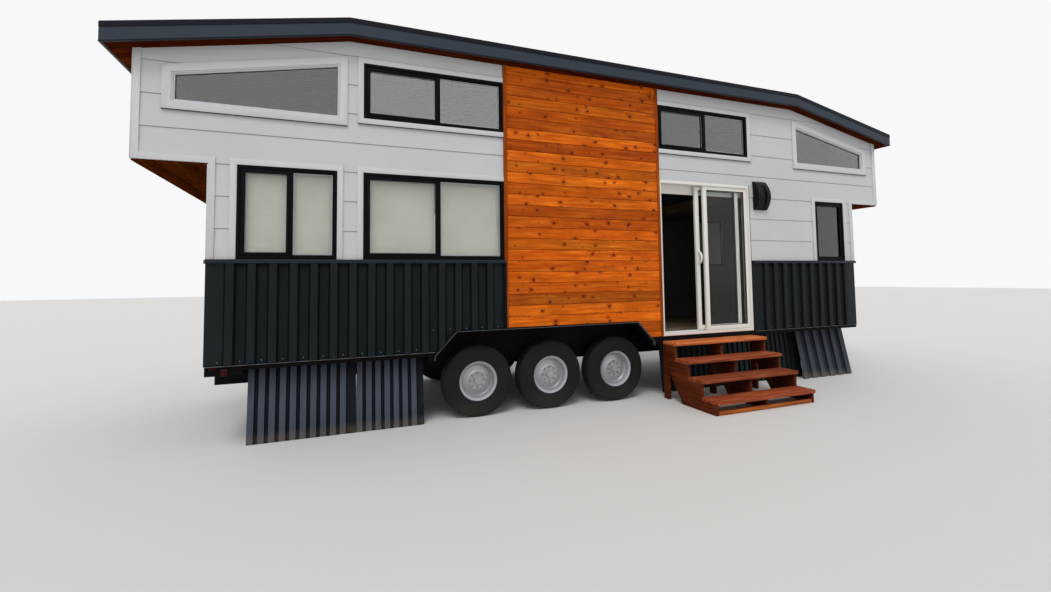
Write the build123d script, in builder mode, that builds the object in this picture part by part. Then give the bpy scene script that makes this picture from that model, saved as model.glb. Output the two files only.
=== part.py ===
from build123d import *
import os

# A tiny house on a road trailer: a long body with a loft overhanging each end,
# a low roof that slopes to both ends, a patio door and a flight of four steps.
# Lengths are millimetres. X runs along the house, Y into its depth, Z up.
# The origin is on the ground, under the middle of the overall box.

os.makedirs("parts", exist_ok=True)

# Shared gaps: between pieces that seat, and past a face that is cut through
seat_clearance = 0.3
cut_margin = 1

# Body
body_length = 8650
body_depth = 2600
wall_thickness = 120
loft_overhang = 592
floor_height = 780
deck_thickness = 100
loft_line = 1870
loft_floor_thickness = 150
left_loft_reach = 2880
right_loft_reach = 2080

# Roof
eave_line = 3240
kink_inset = 1229
roof_slope = 0.202
roof_end_overhang = 205
eave_overhang = 145
soffit_thickness = 12
roof_panel_thickness = 150
fascia_thickness = 25
roof_metal_thickness = 18
drip_lip_height = 52
drip_lip_thickness = 6
seam_height = 24
seam_thickness = 12
seam_count = 7

# Wooden section of the long walls
wood_start = 2907
wood_end = 5028

# Patio door
door_start = 5028
door_width = 1526
door_height = 2030
door_jamb_face = 32
door_head_face = 37
door_sill_face = 35
door_frame_proud = 10
door_frame_depth = 120
door_panel_thickness = 38
door_track_gap = 12
door_stile = 60
door_fixed_outer_stile = 49
door_rail_top = 50
door_rail_bottom = 60
door_gap_open = 598
door_fixed_start = 5757
door_track_height = 12
door_track_width = 16
door_panel_clearance = 5
door_panel_setback = 16
door_glass_thickness = 20
door_handle_width = 30
door_handle_height = 190
door_handle_reach = 70
door_handle_bar = 14
door_handle_centre = 1017
door_head_board_drop = 153
door_head_board_thickness = 18
wall_right_start = 6570

# Windows
window_frame_face = 38
window_frame_proud = 14
window_frame_depth = 70
window_sash_face = 30
window_stile_reach = 34
window_glass_thickness = 8
window_glass_setback = 18
lower_window_sill = 975
lower_window_head = 1873
upper_window_sill = 2440
upper_window_head = 3026
narrow_window_start = 233
narrow_window_width = 884
wide_window_start = 1367
wide_window_width = 1524
door_window_start = 5028
door_window_width = 1526
casement_start = 7846
casement_width = 607
loft_window_inset = 289
loft_window_width = 1440
loft_window_sill = 2420
loft_window_head_gap = 238
loft_frame_face = 24
loft_trim_width = 74
end_window_width = 1200
end_window_height = 300
blind_thickness = 6

# Casings, corner boards and bands
trim_width = 56
trim_proud = 20
band_height = 60

# Ribbed wainscot
wainscot_drop = 8
wainscot_height = 937
wainscot_cap_height = 37
wainscot_cap_proud = 46
wainscot_cap_corner = 14
wainscot_cap_taper = 90
wainscot_sheet = 10
rib_pitch = 180
rib_top = 66
rib_side = 18
rib_proud = 40
corner_flashing = 90

# Wheel arch and wheel wells
arch_start = 2095
arch_length = 2783
arch_shoulder = 236
arch_height = 198
arch_spring_drop = 50
well_plate = 12
well_depth = 370

# Trailer
rail_inset = 400
rail_width = 60
rail_height = 150
cross_spacing = 800
cross_width = 50
cross_height = 100
axle_count = 3
axle_spacing = 890
axle_first = 2610
axle_section = 76
axle_trail = 170
arm_thickness = 22
arm_width = 90
spindle_radius = 22
wheel_clearance = 12
tyre_radius = 400
tyre_width = 205
tyre_inset = 105
rim_radius = 191
rim_dish = 70
hub_radius = 62
hub_reach = 45
tongue_reach = 1150
tongue_beam_width = 60
tongue_beam_height = 120
coupler_length = 230
coupler_width = 90
coupler_height = 70
coupler_lift = 25
coupler_neck_width = 56
coupler_neck_length = 95
coupler_socket_radius = 26
coupler_socket_depth = 40
tongue_plate_setback = 90
tongue_plate_length = 170
tongue_plate_thickness = 10
tongue_jack_head = 190
jack_pad = 220
jack_pad_thickness = 12
jack_outer = 70
jack_inner = 50
jack_inner_height = 260
jack_inset = 420
tail_light_width = 58
tail_light_height = 65
tail_light_depth = 28
tail_light_inset = 132
tail_light_drop = 35
marker_light_height = 32
marker_light_depth = 14
marker_light_inset = 40
marker_light_drop = 12

# Skirt sheets
skirt_sheet = 3
skirt_pitch = 92
skirt_flat = 57
skirt_flank = 5
skirt_rib_depth = 22
skirt_trim = 60
skirt_left_start = 330
skirt_left_width = 982
skirt_left_lean = 0.10
skirt_middle_start = 1318
skirt_middle_width = 682
skirt_middle_lean = 0.13
skirt_recess_start = 6560
skirt_recess_width = 738
skirt_recess_lean = 0.10
skirt_right_start = 7440
skirt_right_width = 1160
skirt_right_lean = 0.20
skirt_setback = 90
skirt_recess_setback = 240

# Steps
step_start = 5026
step_width = 1493
step_drop = 61
step_rise = 187
step_run = 227
step_depth = 255
step_count = 4
tread_thickness = 40
stringer_thickness = 40
stringer_count = 3
stringer_foot = 560
stringer_back_height = 153
step_post_width = 90
step_rail_height = 45
step_rail_thickness = 38

# Porch light
light_start = 6632
light_width = 225
light_bottom = 1695
light_height = 405
light_reach = 118
light_foot_reach = 30

# Overall box and the lines that everything is set from
steps_reach = seat_clearance + step_depth + (step_count - 1) * step_run
overall_depth = steps_reach + body_depth + eave_overhang + drip_lip_thickness
overall_length = body_length + loft_overhang + roof_end_overhang + tongue_reach
west = -overall_length / 2 + loft_overhang + roof_end_overhang
east = west + body_length
front = -overall_depth / 2 + steps_reach
back = front + body_depth
middle_y = (front + back) / 2
floor_z = floor_height
loft_z = floor_z + loft_line
eave_z = floor_z + eave_line
loft_west = west - loft_overhang
loft_east = east + loft_overhang
roof_west = loft_west - roof_end_overhang
roof_east = loft_east + roof_end_overhang
kink_west = west + kink_inset
kink_east = east - kink_inset
deck_bottom = floor_z - deck_thickness


def block(x_low, x_high, y_low, y_high, z_low, z_high, mode=Mode.ADD):
    """Add or cut a box that reaches from one corner to the other."""
    with Locations(((x_low + x_high) / 2, (y_low + y_high) / 2, (z_low + z_high) / 2)):
        Box(x_high - x_low, y_high - y_low, z_high - z_low, mode=mode)


def long_prism(points, y_low, y_high, mode=Mode.ADD):
    """Add or cut an outline drawn in X and Z, as thick as from y_low to y_high."""
    with BuildSketch(Plane.XZ.offset(-y_high)) as outline:
        Polygon(*points, align=None)
    extrude(outline.sketch, amount=y_high - y_low, mode=mode)


def roof_drop(x):
    """How far the roof has come down at a place along the house."""
    return roof_slope * max(kink_west - x, x - kink_east, 0)


def roof_line(x_low, x_high, height):
    """Points along the roof from one end to the other, at a height over the eave."""
    stops = [x_low] + [x for x in (kink_west, kink_east) if x_low < x < x_high] + [x_high]
    return [(x, eave_z + height - roof_drop(x)) for x in stops]


def roof_band(x_low, x_high, low, high):
    """Outline of a layer that follows the roof between two heights."""
    return roof_line(x_low, x_high, low) + roof_line(x_low, x_high, high)[::-1]


def arch_outline(grow, low):
    """Outline of the wheel arch down to a height, larger by the thickness of its lining."""
    left = west + arch_start - grow
    right = west + arch_start + arch_length + grow
    top = floor_z + arch_height + grow
    spring = floor_z - arch_spring_drop
    return [
        (left, low), (left, spring), (left + arch_shoulder, top),
        (right - arch_shoulder, top), (right, spring), (right, low),
    ]


def loft_window_outline(mirrored, shrink):
    """Outline of the window whose head follows the slope of the roof."""
    outer = loft_west + loft_window_inset + shrink
    inner = loft_west + loft_window_inset + loft_window_width - shrink
    bottom = floor_z + loft_window_sill + shrink
    head = eave_z - loft_window_head_gap - shrink
    points = [
        (outer, bottom), (inner, bottom),
        (inner, head - roof_drop(inner)), (outer, head - roof_drop(outer)),
    ]
    if mirrored:
        return [(west + east - x, z) for x, z in points][::-1]
    return points


# Windows that slide: start, width, sill and head, and whether the pane is split.
narrow_window = (narrow_window_start, narrow_window_width, lower_window_sill, lower_window_head, True)
wide_window = (wide_window_start, wide_window_width, lower_window_sill, lower_window_head, True)
upper_window = (wide_window_start, wide_window_width, upper_window_sill, upper_window_head, True)
door_window = (door_window_start, door_window_width, upper_window_sill, upper_window_head, True)
casement = (casement_start, casement_width, lower_window_sill, lower_window_head, False)
square_windows = [narrow_window, wide_window, upper_window, door_window, casement]


def window_span(window):
    """The lowest and highest X and Z of a square window."""
    start, width, sill, head, _ = window
    return west + start, west + start + width, floor_z + sill, floor_z + head


def window_panes(window):
    """The panes of a square window, the sliding one held in a sash of its own."""
    x_low, x_high, z_low, z_high = window_span(window)
    inner = (
        x_low + window_frame_face, x_high - window_frame_face,
        z_low + window_frame_face, z_high - window_frame_face,
    )
    if not window[4]:
        return [inner]
    middle = (x_low + x_high) / 2
    half = window_frame_face / 2
    sash = (
        inner[0] + window_sash_face, middle - half,
        inner[2] + window_sash_face, inner[3] - window_sash_face,
    )
    return [sash, (middle + window_stile_reach, inner[1], inner[2], inner[3])]


def cut_windows(windows, y_low, y_high):
    """Cut square windows through a long wall."""
    for window in windows:
        x_low, x_high, z_low, z_high = window_span(window)
        block(x_low, x_high, y_low, y_high, z_low, z_high, Mode.SUBTRACT)


def wall_outline(x_low, x_high, bottom):
    """Outline of a piece of long wall from its foot to the roof."""
    return [(x_high, bottom), (x_low, bottom)] + roof_line(x_low, x_high, 0)


def end_wall_outline(at_west):
    """Outline of one end of a long wall, with the loft over the lower storey."""
    if at_west:
        return [
            (west, floor_z), (west, loft_z), (loft_west, loft_z),
            *roof_line(loft_west, west + wood_start, 0), (west + wood_start, floor_z),
        ]
    start = west + wall_right_start
    return [
        (east, floor_z), (east, loft_z), (loft_east, loft_z),
        *roof_line(start, loft_east, 0)[::-1], (start, floor_z),
    ]


# Long walls, front and back
for side, y_low in (("front", front), ("back", back - wall_thickness)):
    y_high = y_low + wall_thickness
    with BuildPart() as wall_west:
        long_prism(end_wall_outline(True), y_low, y_high)
        cut_windows([narrow_window, wide_window, upper_window], y_low, y_high)
        long_prism(loft_window_outline(False, 0), y_low, y_high, Mode.SUBTRACT)
        long_prism(arch_outline(well_plate, floor_z - cut_margin), y_low, y_high, Mode.SUBTRACT)
    wall_west.part.label = f"{side}_wall_left"
    export_step(wall_west.part, f"parts/{side}_wall_left.step")

    with BuildPart() as wall_wood:
        long_prism(wall_outline(west + wood_start, west + wood_end, floor_z), y_low, y_high)
        long_prism(arch_outline(well_plate, floor_z - cut_margin), y_low, y_high, Mode.SUBTRACT)
    wall_wood.part.label = f"{side}_wall_wood"
    export_step(wall_wood.part, f"parts/{side}_wall_wood.step")

    with BuildPart() as wall_east:
        long_prism(end_wall_outline(False), y_low, y_high)
        cut_windows([casement], y_low, y_high)
        long_prism(loft_window_outline(True, 0), y_low, y_high, Mode.SUBTRACT)
    wall_east.part.label = f"{side}_wall_right"
    export_step(wall_east.part, f"parts/{side}_wall_right.step")

with BuildPart() as wall_over_door:
    long_prism(
        wall_outline(west + wood_end, west + wall_right_start, floor_z + door_height),
        front, front + wall_thickness,
    )
    cut_windows([door_window], front, front + wall_thickness)
wall_over_door.part.label = "front_wall_over_door"
export_step(wall_over_door.part, "parts/front_wall_over_door.step")

with BuildPart() as wall_back_middle:
    long_prism(
        wall_outline(west + wood_end, west + wall_right_start, floor_z),
        back - wall_thickness, back,
    )
    cut_windows([door_window], back - wall_thickness, back)
wall_back_middle.part.label = "back_wall_middle"
export_step(wall_back_middle.part, "parts/back_wall_middle.step")

# End walls, lower and upper
end_y_low = front + wall_thickness
end_y_high = back - wall_thickness
for side, lower_x, upper_x in (
    ("left", west, loft_west),
    ("right", east - wall_thickness, loft_east - wall_thickness),
):
    with BuildPart() as end_walls:
        block(lower_x, lower_x + wall_thickness, end_y_low, end_y_high, floor_z, loft_z)
        x_high = upper_x + wall_thickness
        top = [(upper_x, eave_z - roof_drop(upper_x)), (x_high, eave_z - roof_drop(x_high))]
        long_prism([(x_high, loft_z), (upper_x, loft_z)] + top, end_y_low, end_y_high)
        block(
            upper_x, x_high,
            middle_y - end_window_width / 2, middle_y + end_window_width / 2,
            floor_z + upper_window_sill, floor_z + upper_window_sill + end_window_height,
            Mode.SUBTRACT,
        )
    end_walls.part.label = f"{side}_end_walls"
    export_step(end_walls.part, f"parts/{side}_end_walls.step")

# Floor deck, notched for the wheels on both sides
with BuildPart() as floor_deck:
    block(west, east, front, back, deck_bottom, floor_z)
    for y_low in (front, back - well_depth):
        block(
            west + arch_start - well_plate, west + arch_start + arch_length + well_plate,
            y_low, y_low + well_depth, deck_bottom, floor_z, Mode.SUBTRACT,
        )
floor_deck.part.label = "floor_deck"
export_step(floor_deck.part, "parts/floor_deck.step")

# Wheel wells: a lining over the wheels and a plate on their inner side
with BuildPart() as wheel_wells:
    for y_low, plate_y in (
        (front, front + well_depth - well_plate),
        (back - well_depth, back - well_depth),
    ):
        long_prism(arch_outline(well_plate, deck_bottom), y_low, y_low + well_depth)
        long_prism(
            arch_outline(0, deck_bottom - cut_margin), y_low, y_low + well_depth, Mode.SUBTRACT,
        )
        long_prism(arch_outline(0, deck_bottom), plate_y, plate_y + well_plate)
wheel_wells.part.label = "wheel_wells"
export_step(wheel_wells.part, "parts/wheel_wells.step")

# Loft floors and the boards under the overhangs
with BuildPart() as loft_floors:
    for x_low, x_high in (
        (loft_west + wall_thickness, west + left_loft_reach),
        (east - right_loft_reach, loft_east - wall_thickness),
    ):
        block(x_low, x_high, end_y_low, end_y_high, loft_z, loft_z + loft_floor_thickness)
loft_floors.part.label = "loft_floors"
export_step(loft_floors.part, "parts/loft_floors.step")

with BuildPart() as overhang_soffits:
    for x_low, x_high in ((loft_west, west), (east, loft_east)):
        block(x_low, x_high, front, back, loft_z - soffit_thickness, loft_z)
overhang_soffits.part.label = "overhang_soffits"
export_step(overhang_soffits.part, "parts/overhang_soffits.step")

# Roof: boards on the walls, panel, fascia and metal covering
roof_front = front - eave_overhang
roof_back = back + eave_overhang
panel_top = soffit_thickness + roof_panel_thickness
with BuildPart() as soffit_boards:
    long_prism(
        roof_band(roof_west + fascia_thickness, roof_east - fascia_thickness, 0, soffit_thickness),
        roof_front + fascia_thickness, roof_back - fascia_thickness,
    )
soffit_boards.part.label = "soffit_boards"
export_step(soffit_boards.part, "parts/soffit_boards.step")

with BuildPart() as roof_panel:
    long_prism(
        roof_band(roof_west + fascia_thickness, roof_east - fascia_thickness, soffit_thickness, panel_top),
        roof_front + fascia_thickness, roof_back - fascia_thickness,
    )
roof_panel.part.label = "roof_panel"
export_step(roof_panel.part, "parts/roof_panel.step")

with BuildPart() as fascia:
    for y_low in (roof_front, roof_back - fascia_thickness):
        long_prism(roof_band(roof_west, roof_east, 0, panel_top), y_low, y_low + fascia_thickness)
    for x_low in (roof_west, roof_east - fascia_thickness):
        x_high = x_low + fascia_thickness
        long_prism(
            roof_band(x_low, x_high, 0, panel_top),
            roof_front + fascia_thickness, roof_back - fascia_thickness,
        )
fascia.part.label = "fascia"
export_step(fascia.part, "parts/fascia.step")

with BuildPart() as roof_metal:
    long_prism(
        roof_band(roof_west, roof_east, panel_top, panel_top + roof_metal_thickness),
        roof_front, roof_back,
    )
    lip_low = panel_top + roof_metal_thickness - drip_lip_height
    for y_low in (roof_front - drip_lip_thickness, roof_back):
        long_prism(
            roof_band(roof_west, roof_east, lip_low, panel_top + roof_metal_thickness),
            y_low, y_low + drip_lip_thickness,
        )
    for index in range(seam_count):
        seam_y = roof_front + (roof_back - roof_front) * (index + 0.5) / seam_count
        long_prism(
            roof_band(
                roof_west, roof_east,
                panel_top + roof_metal_thickness, panel_top + roof_metal_thickness + seam_height,
            ),
            seam_y - seam_thickness / 2, seam_y + seam_thickness / 2,
        )
roof_metal.part.label = "roof_metal"
export_step(roof_metal.part, "parts/roof_metal.step")


# Windows: frames and panes set in the long walls
def window_frame(window, y_low, y_high):
    """Frame of a square window, with its sash and meeting stile."""
    x_low, x_high, z_low, z_high = window_span(window)
    block(x_low, x_high, y_low, y_high, z_low, z_high)
    for pane in window_panes(window):
        block(pane[0], pane[1], y_low, y_high, pane[2], pane[3], Mode.SUBTRACT)


def window_glass(window, y_low, y_high):
    """Panes of a square window."""
    for pane in window_panes(window):
        block(pane[0], pane[1], y_low, y_high, pane[2], pane[3])


frame_front = (front - window_frame_proud, front - window_frame_proud + window_frame_depth)
frame_back = (back + window_frame_proud - window_frame_depth, back + window_frame_proud)
glass_front = (front + window_glass_setback, front + window_glass_setback + window_glass_thickness)
glass_back = (back - window_glass_setback - window_glass_thickness, back - window_glass_setback)

for side, frame_span in (("front", frame_front), ("back", frame_back)):
    with BuildPart() as window_frames:
        for window in square_windows:
            window_frame(window, *frame_span)
    window_frames.part.label = f"{side}_window_frames"
    export_step(window_frames.part, f"parts/{side}_window_frames.step")

with BuildPart() as loft_frames:
    for frame_span in (frame_front, frame_back):
        for mirrored in (False, True):
            long_prism(loft_window_outline(mirrored, 0), *frame_span)
            long_prism(
                loft_window_outline(mirrored, loft_frame_face),
                *frame_span, Mode.SUBTRACT,
            )
loft_frames.part.label = "loft_window_frames"
export_step(loft_frames.part, "parts/loft_window_frames.step")

# End windows of the loft
end_sill_z = floor_z + upper_window_sill
with BuildPart() as end_window_frames:
    for x_low in (
        loft_west - window_frame_proud,
        loft_east + window_frame_proud - window_frame_depth,
    ):
        block(
            x_low, x_low + window_frame_depth,
            middle_y - end_window_width / 2, middle_y + end_window_width / 2,
            end_sill_z, end_sill_z + end_window_height,
        )
        block(
            x_low, x_low + window_frame_depth,
            middle_y - end_window_width / 2 + window_frame_face,
            middle_y + end_window_width / 2 - window_frame_face,
            end_sill_z + window_frame_face, end_sill_z + end_window_height - window_frame_face,
            Mode.SUBTRACT,
        )
end_window_frames.part.label = "end_window_frames"
export_step(end_window_frames.part, "parts/end_window_frames.step")

with BuildPart() as panes:
    for glass_span in (glass_front, glass_back):
        for window in square_windows:
            window_glass(window, *glass_span)
        for mirrored in (False, True):
            long_prism(loft_window_outline(mirrored, loft_frame_face), *glass_span)
    for x_low in (
        loft_west + window_glass_setback,
        loft_east - window_glass_setback - window_glass_thickness,
    ):
        block(
            x_low, x_low + window_glass_thickness,
            middle_y - end_window_width / 2 + window_frame_face,
            middle_y + end_window_width / 2 - window_frame_face,
            end_sill_z + window_frame_face, end_sill_z + end_window_height - window_frame_face,
        )
panes.part.label = "window_glass"
export_step(panes.part, "parts/window_glass.step")

# Blinds behind the lower windows at the front
with BuildPart() as window_blinds:
    for window in (narrow_window, wide_window):
        x_low, x_high, z_low, z_high = window_span(window)
        blind_y = frame_front[1] - blind_thickness
        for pane in window_panes(window):
            block(
                pane[0], pane[1], blind_y, blind_y + blind_thickness,
                pane[2], pane[3],
            )
window_blinds.part.label = "window_blinds"
export_step(window_blinds.part, "parts/window_blinds.step")

# Wainscot: ribbed metal sheets with a cap along their top


def ribbed_outline(start, end, face, outward):
    """Section of a ribbed sheet between two flat ends, seen from above."""
    count = int((end - start - 2 * corner_flashing) // rib_pitch)
    first = (start + end - count * rib_pitch) / 2
    points = [(start, 0), (start, wainscot_sheet)]
    valley = rib_pitch - rib_top - 2 * rib_side
    for index in range(count):
        rib = first + index * rib_pitch + valley / 2
        points += [
            (rib, wainscot_sheet), (rib + rib_side, rib_proud),
            (rib + rib_side + rib_top, rib_proud), (rib + 2 * rib_side + rib_top, wainscot_sheet),
        ]
    points += [(end, wainscot_sheet), (end, 0)]
    return [(along, face + outward * out) for along, out in points]


wainscot_low = floor_z - wainscot_drop
wainscot_high = floor_z + wainscot_height
wainscot_top = wainscot_high + wainscot_cap_height
for side, face, outward, spans in (
    ("front", front, -1, ((west, west + wood_start), (west + wall_right_start, east))),
    ("back", back, 1, ((west, west + wood_start), (west + wood_end, east))),
):
    with BuildPart() as wainscot:
        for start, end in spans:
            with BuildSketch(Plane.XY.offset(wainscot_low)) as sheet:
                Polygon(*ribbed_outline(start, end, face, outward), align=None)
            extrude(sheet.sketch, amount=wainscot_high - wainscot_low)
            cap_y = sorted((face, face + outward * wainscot_cap_proud))
            block(start, end, *cap_y, wainscot_high, wainscot_top)
        arch_y = sorted((face, face + outward * wainscot_cap_proud))
        long_prism(arch_outline(0, deck_bottom), *arch_y, Mode.SUBTRACT)
    wainscot.part.label = f"{side}_wainscot"
    export_step(wainscot.part, f"parts/{side}_wainscot.step")

with BuildPart() as end_wainscot:
    for face, outward in ((west, -1), (east, 1)):
        flat = ribbed_outline(front, back, 0, 1)
        with BuildSketch(Plane.XY.offset(wainscot_low)) as sheet:
            Polygon(*[(face + outward * out, along) for along, out in flat], align=None)
        extrude(sheet.sketch, amount=wainscot_high - wainscot_low)
        cap = [
            (0, front), (wainscot_cap_corner, front),
            (wainscot_cap_proud, front + wainscot_cap_taper),
            (wainscot_cap_proud, back - wainscot_cap_taper),
            (wainscot_cap_corner, back), (0, back),
        ]
        with BuildSketch(Plane.XY.offset(wainscot_high)) as cap_face:
            Polygon(*[(face + outward * out, along) for out, along in cap], align=None)
        extrude(cap_face.sketch, amount=wainscot_cap_height)
end_wainscot.part.label = "end_wainscot"
export_step(end_wainscot.part, "parts/end_wainscot.step")


# Casings, corner boards and bands
def casing(x_low, x_high, z_low, z_high, y_low, y_high, sides):
    """Boards around a window on the named sides: l, r, t, b."""
    if "l" in sides:
        block(x_low - trim_width, x_low, y_low, y_high, z_low, z_high)
    if "r" in sides:
        block(x_high, x_high + trim_width, y_low, y_high, z_low, z_high)
    left = x_low - trim_width * ("l" in sides)
    right = x_high + trim_width * ("r" in sides)
    if "t" in sides:
        block(left, right, y_low, y_high, z_high, z_high + trim_width)
    if "b" in sides:
        block(left, right, y_low, y_high, z_low - trim_width, z_low)


for side, y_low in (("front", front - trim_proud), ("back", back)):
    y_high = y_low + trim_proud
    with BuildPart() as trims:
        casing(*window_span(narrow_window), y_low, y_high, "lrt")
        casing(*window_span(wide_window), y_low, y_high, "lt")
        casing(*window_span(upper_window), y_low, y_high, "ltb")
        casing(*window_span(door_window), y_low, y_high, "rtb")
        casing(*window_span(casement), y_low, y_high, "lrt")
        for mirrored in (False, True):
            long_prism(loft_window_outline(mirrored, -loft_trim_width), y_low, y_high)
            long_prism(loft_window_outline(mirrored, 0), y_low, y_high, Mode.SUBTRACT)
        band_low = loft_z
        block(loft_west, west + trim_width, y_low, y_high, band_low, band_low + band_height)
        block(east - trim_width, loft_east, y_low, y_high, band_low, band_low + band_height)
        for x_low, x_high in (
            (loft_west, loft_west + trim_width),
            (loft_east - trim_width, loft_east),
        ):
            long_prism(
                [(x_low, band_low + band_height), (x_high, band_low + band_height),
                 (x_high, eave_z - roof_drop(x_high)), (x_low, eave_z - roof_drop(x_low))],
                y_low, y_high,
            )
        for x_low in (west, east - trim_width):
            block(x_low, x_low + trim_width, y_low, y_high, wainscot_top, loft_z)
    trims.part.label = f"{side}_trims"
    export_step(trims.part, f"parts/{side}_trims.step")

# Patio door: frame with the fixed panel's place, and the leaf that slides
frame_y = front - door_frame_proud
door_x_low = west + door_start
door_x_high = door_x_low + door_width
door_top = floor_z + door_height
clear_x_low = door_x_low + door_jamb_face
clear_x_high = door_x_high - door_jamb_face
clear_top = door_top - door_head_face
sill_top = floor_z + door_sill_face
fixed_y = frame_y + door_panel_setback
leaf_y = fixed_y + door_panel_thickness + door_track_gap
leaf_closed_x = clear_x_low + door_panel_clearance
leaf_open_x = clear_x_low + door_gap_open
fixed_x_low = west + door_fixed_start
leaf_width = fixed_x_low + door_stile - leaf_closed_x
leaf_bottom = sill_top + door_track_height + seat_clearance
leaf_top = clear_top - door_panel_clearance
with BuildPart() as door_frame:
    block(door_x_low, door_x_high, frame_y, frame_y + door_frame_depth, floor_z, door_top)
    block(
        clear_x_low, clear_x_high, frame_y, frame_y + door_frame_depth,
        sill_top, clear_top, Mode.SUBTRACT,
    )
    track_y = leaf_y + door_panel_thickness / 2
    block(
        clear_x_low, clear_x_high, track_y - door_track_width / 2, track_y + door_track_width / 2,
        sill_top, sill_top + door_track_height,
    )
    block(
        door_x_low, door_x_high,
        frame_y + door_frame_depth, frame_y + door_frame_depth + door_head_board_thickness,
        door_top - door_head_board_drop, door_top,
    )
door_frame.part.label = "door_frame"
export_step(door_frame.part, "parts/door_frame.step")


def door_panel(x_low, x_high, far_stile, y_low, z_low, z_high):
    """Stiles and rails of one glazed panel of the door."""
    block(x_low, x_high, y_low, y_low + door_panel_thickness, z_low, z_high)
    block(
        x_low + door_stile, x_high - far_stile, y_low, y_low + door_panel_thickness,
        z_low + door_rail_bottom, z_high - door_rail_top, Mode.SUBTRACT,
    )


def door_glass(x_low, x_high, far_stile, y_low, z_low, z_high):
    """Sealed glass unit of one panel."""
    glass_y = y_low + (door_panel_thickness - door_glass_thickness) / 2
    block(
        x_low + door_stile, x_high - far_stile, glass_y, glass_y + door_glass_thickness,
        z_low + door_rail_bottom, z_high - door_rail_top,
    )


fixed_size = (fixed_x_low, clear_x_high, door_fixed_outer_stile, fixed_y, sill_top, clear_top)
leaf_size = (leaf_open_x, leaf_open_x + leaf_width, door_stile, leaf_y, leaf_bottom, leaf_top)
with BuildPart() as fixed_panel:
    door_panel(*fixed_size)
fixed_panel.part.label = "door_fixed_panel"
export_step(fixed_panel.part, "parts/door_fixed_panel.step")

with BuildPart() as fixed_glass:
    door_glass(*fixed_size)
fixed_glass.part.label = "door_fixed_glass"
export_step(fixed_glass.part, "parts/door_fixed_glass.step")

with BuildPart() as leaf_panel:
    door_panel(*leaf_size)
leaf_panel.part.label = "door_leaf"
export_step(leaf_panel.part, "parts/door_leaf.step")

with BuildPart() as leaf_glass:
    door_glass(*leaf_size)
leaf_glass.part.label = "door_leaf_glass"
export_step(leaf_glass.part, "parts/door_leaf_glass.step")

with BuildPart() as leaf_handle:
    handle_x = leaf_open_x + (door_stile - door_handle_width) / 2
    handle_mid = floor_z + door_handle_centre
    with BuildSketch(Plane.YZ.offset(handle_x)) as bow:
        for inset, mode in ((0, Mode.ADD), (door_handle_bar, Mode.SUBTRACT)):
            low = (leaf_y, handle_mid - door_handle_height / 2 + inset)
            high = (leaf_y, handle_mid + door_handle_height / 2 - inset)
            with BuildLine():
                ThreePointArc(low, (leaf_y - door_handle_reach + inset, handle_mid), high)
                Line(high, low)
            make_face(mode=mode)
    extrude(amount=door_handle_width)
leaf_handle.part.label = "door_handle"
export_step(leaf_handle.part, "parts/door_handle.step")

# Steps
step_x_low = west + step_start
tread_x_high = step_x_low + step_width
with BuildPart() as step_treads:
    for index in range(step_count):
        tread_top = floor_z - step_drop - index * step_rise
        tread_back = front - seat_clearance - index * step_run
        block(
            step_x_low, tread_x_high, tread_back - step_depth, tread_back,
            tread_top - tread_thickness, tread_top,
        )
step_treads.part.label = "step_treads"
export_step(step_treads.part, "parts/step_treads.step")

steps_back = front - seat_clearance
foot_y = steps_back - step_count * step_run
heel_y = foot_y + stringer_foot
stringer_gap = (step_width - stringer_thickness) / (stringer_count - 1)
stringer_xs = [step_x_low + index * stringer_gap for index in range(stringer_count)]
stringer_back = floor_z - step_drop - tread_thickness - stringer_back_height


def stringer_underside(y):
    """Height of the sloping lower edge of the stringers."""
    return (y - heel_y) * stringer_back / (steps_back - heel_y)


rail_span = (stringer_xs[0] + stringer_thickness, stringer_xs[-1])
with BuildPart() as step_stringers:
    profile = []
    for index in range(step_count):
        tread_under = floor_z - step_drop - index * step_rise - tread_thickness
        near = steps_back - index * step_run
        profile += [(near, tread_under), (near - step_run, tread_under)]
    profile += [(foot_y, 0), (heel_y, 0), (steps_back, stringer_underside(steps_back))]
    for stringer_x in stringer_xs:
        with BuildSketch(Plane.YZ.offset(stringer_x)) as saw:
            Polygon(*profile, align=None)
        extrude(saw.sketch, amount=stringer_thickness)
    block(*rail_span, foot_y, foot_y + step_rail_thickness, 0, step_rail_height, Mode.SUBTRACT)
step_stringers.part.label = "step_stringers"
export_step(step_stringers.part, "parts/step_stringers.step")

with BuildPart() as step_posts:
    post_front = steps_back - step_post_width
    for stringer_x in stringer_xs:
        with BuildSketch(Plane.YZ.offset(stringer_x)) as post:
            Polygon(
                (post_front, 0), (steps_back, 0),
                (steps_back, stringer_underside(steps_back)),
                (post_front, stringer_underside(post_front)), align=None,
            )
        extrude(post.sketch, amount=stringer_thickness)
step_posts.part.label = "step_posts"
export_step(step_posts.part, "parts/step_posts.step")

with BuildPart() as step_front_rail:
    block(*rail_span, foot_y, foot_y + step_rail_thickness, 0, step_rail_height)
step_front_rail.part.label = "step_front_rail"
export_step(step_front_rail.part, "parts/step_front_rail.step")

# Porch light beside the door
with BuildPart() as porch_light:
    light_low = floor_z + light_bottom
    light_high = light_low + light_height
    with BuildSketch(Plane.YZ.offset(west + light_start)) as shade:
        with BuildLine():
            Line((front, light_low), (front - light_foot_reach, light_low))
            ThreePointArc(
                (front - light_foot_reach, light_low),
                (front - light_reach, light_low + light_height / 2),
                (front - light_foot_reach / 2, light_high),
            )
            Line((front - light_foot_reach / 2, light_high), (front, light_high))
            Line((front, light_high), (front, light_low))
        make_face()
    extrude(amount=light_width)
porch_light.part.label = "porch_light"
export_step(porch_light.part, "parts/porch_light.step")

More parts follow.
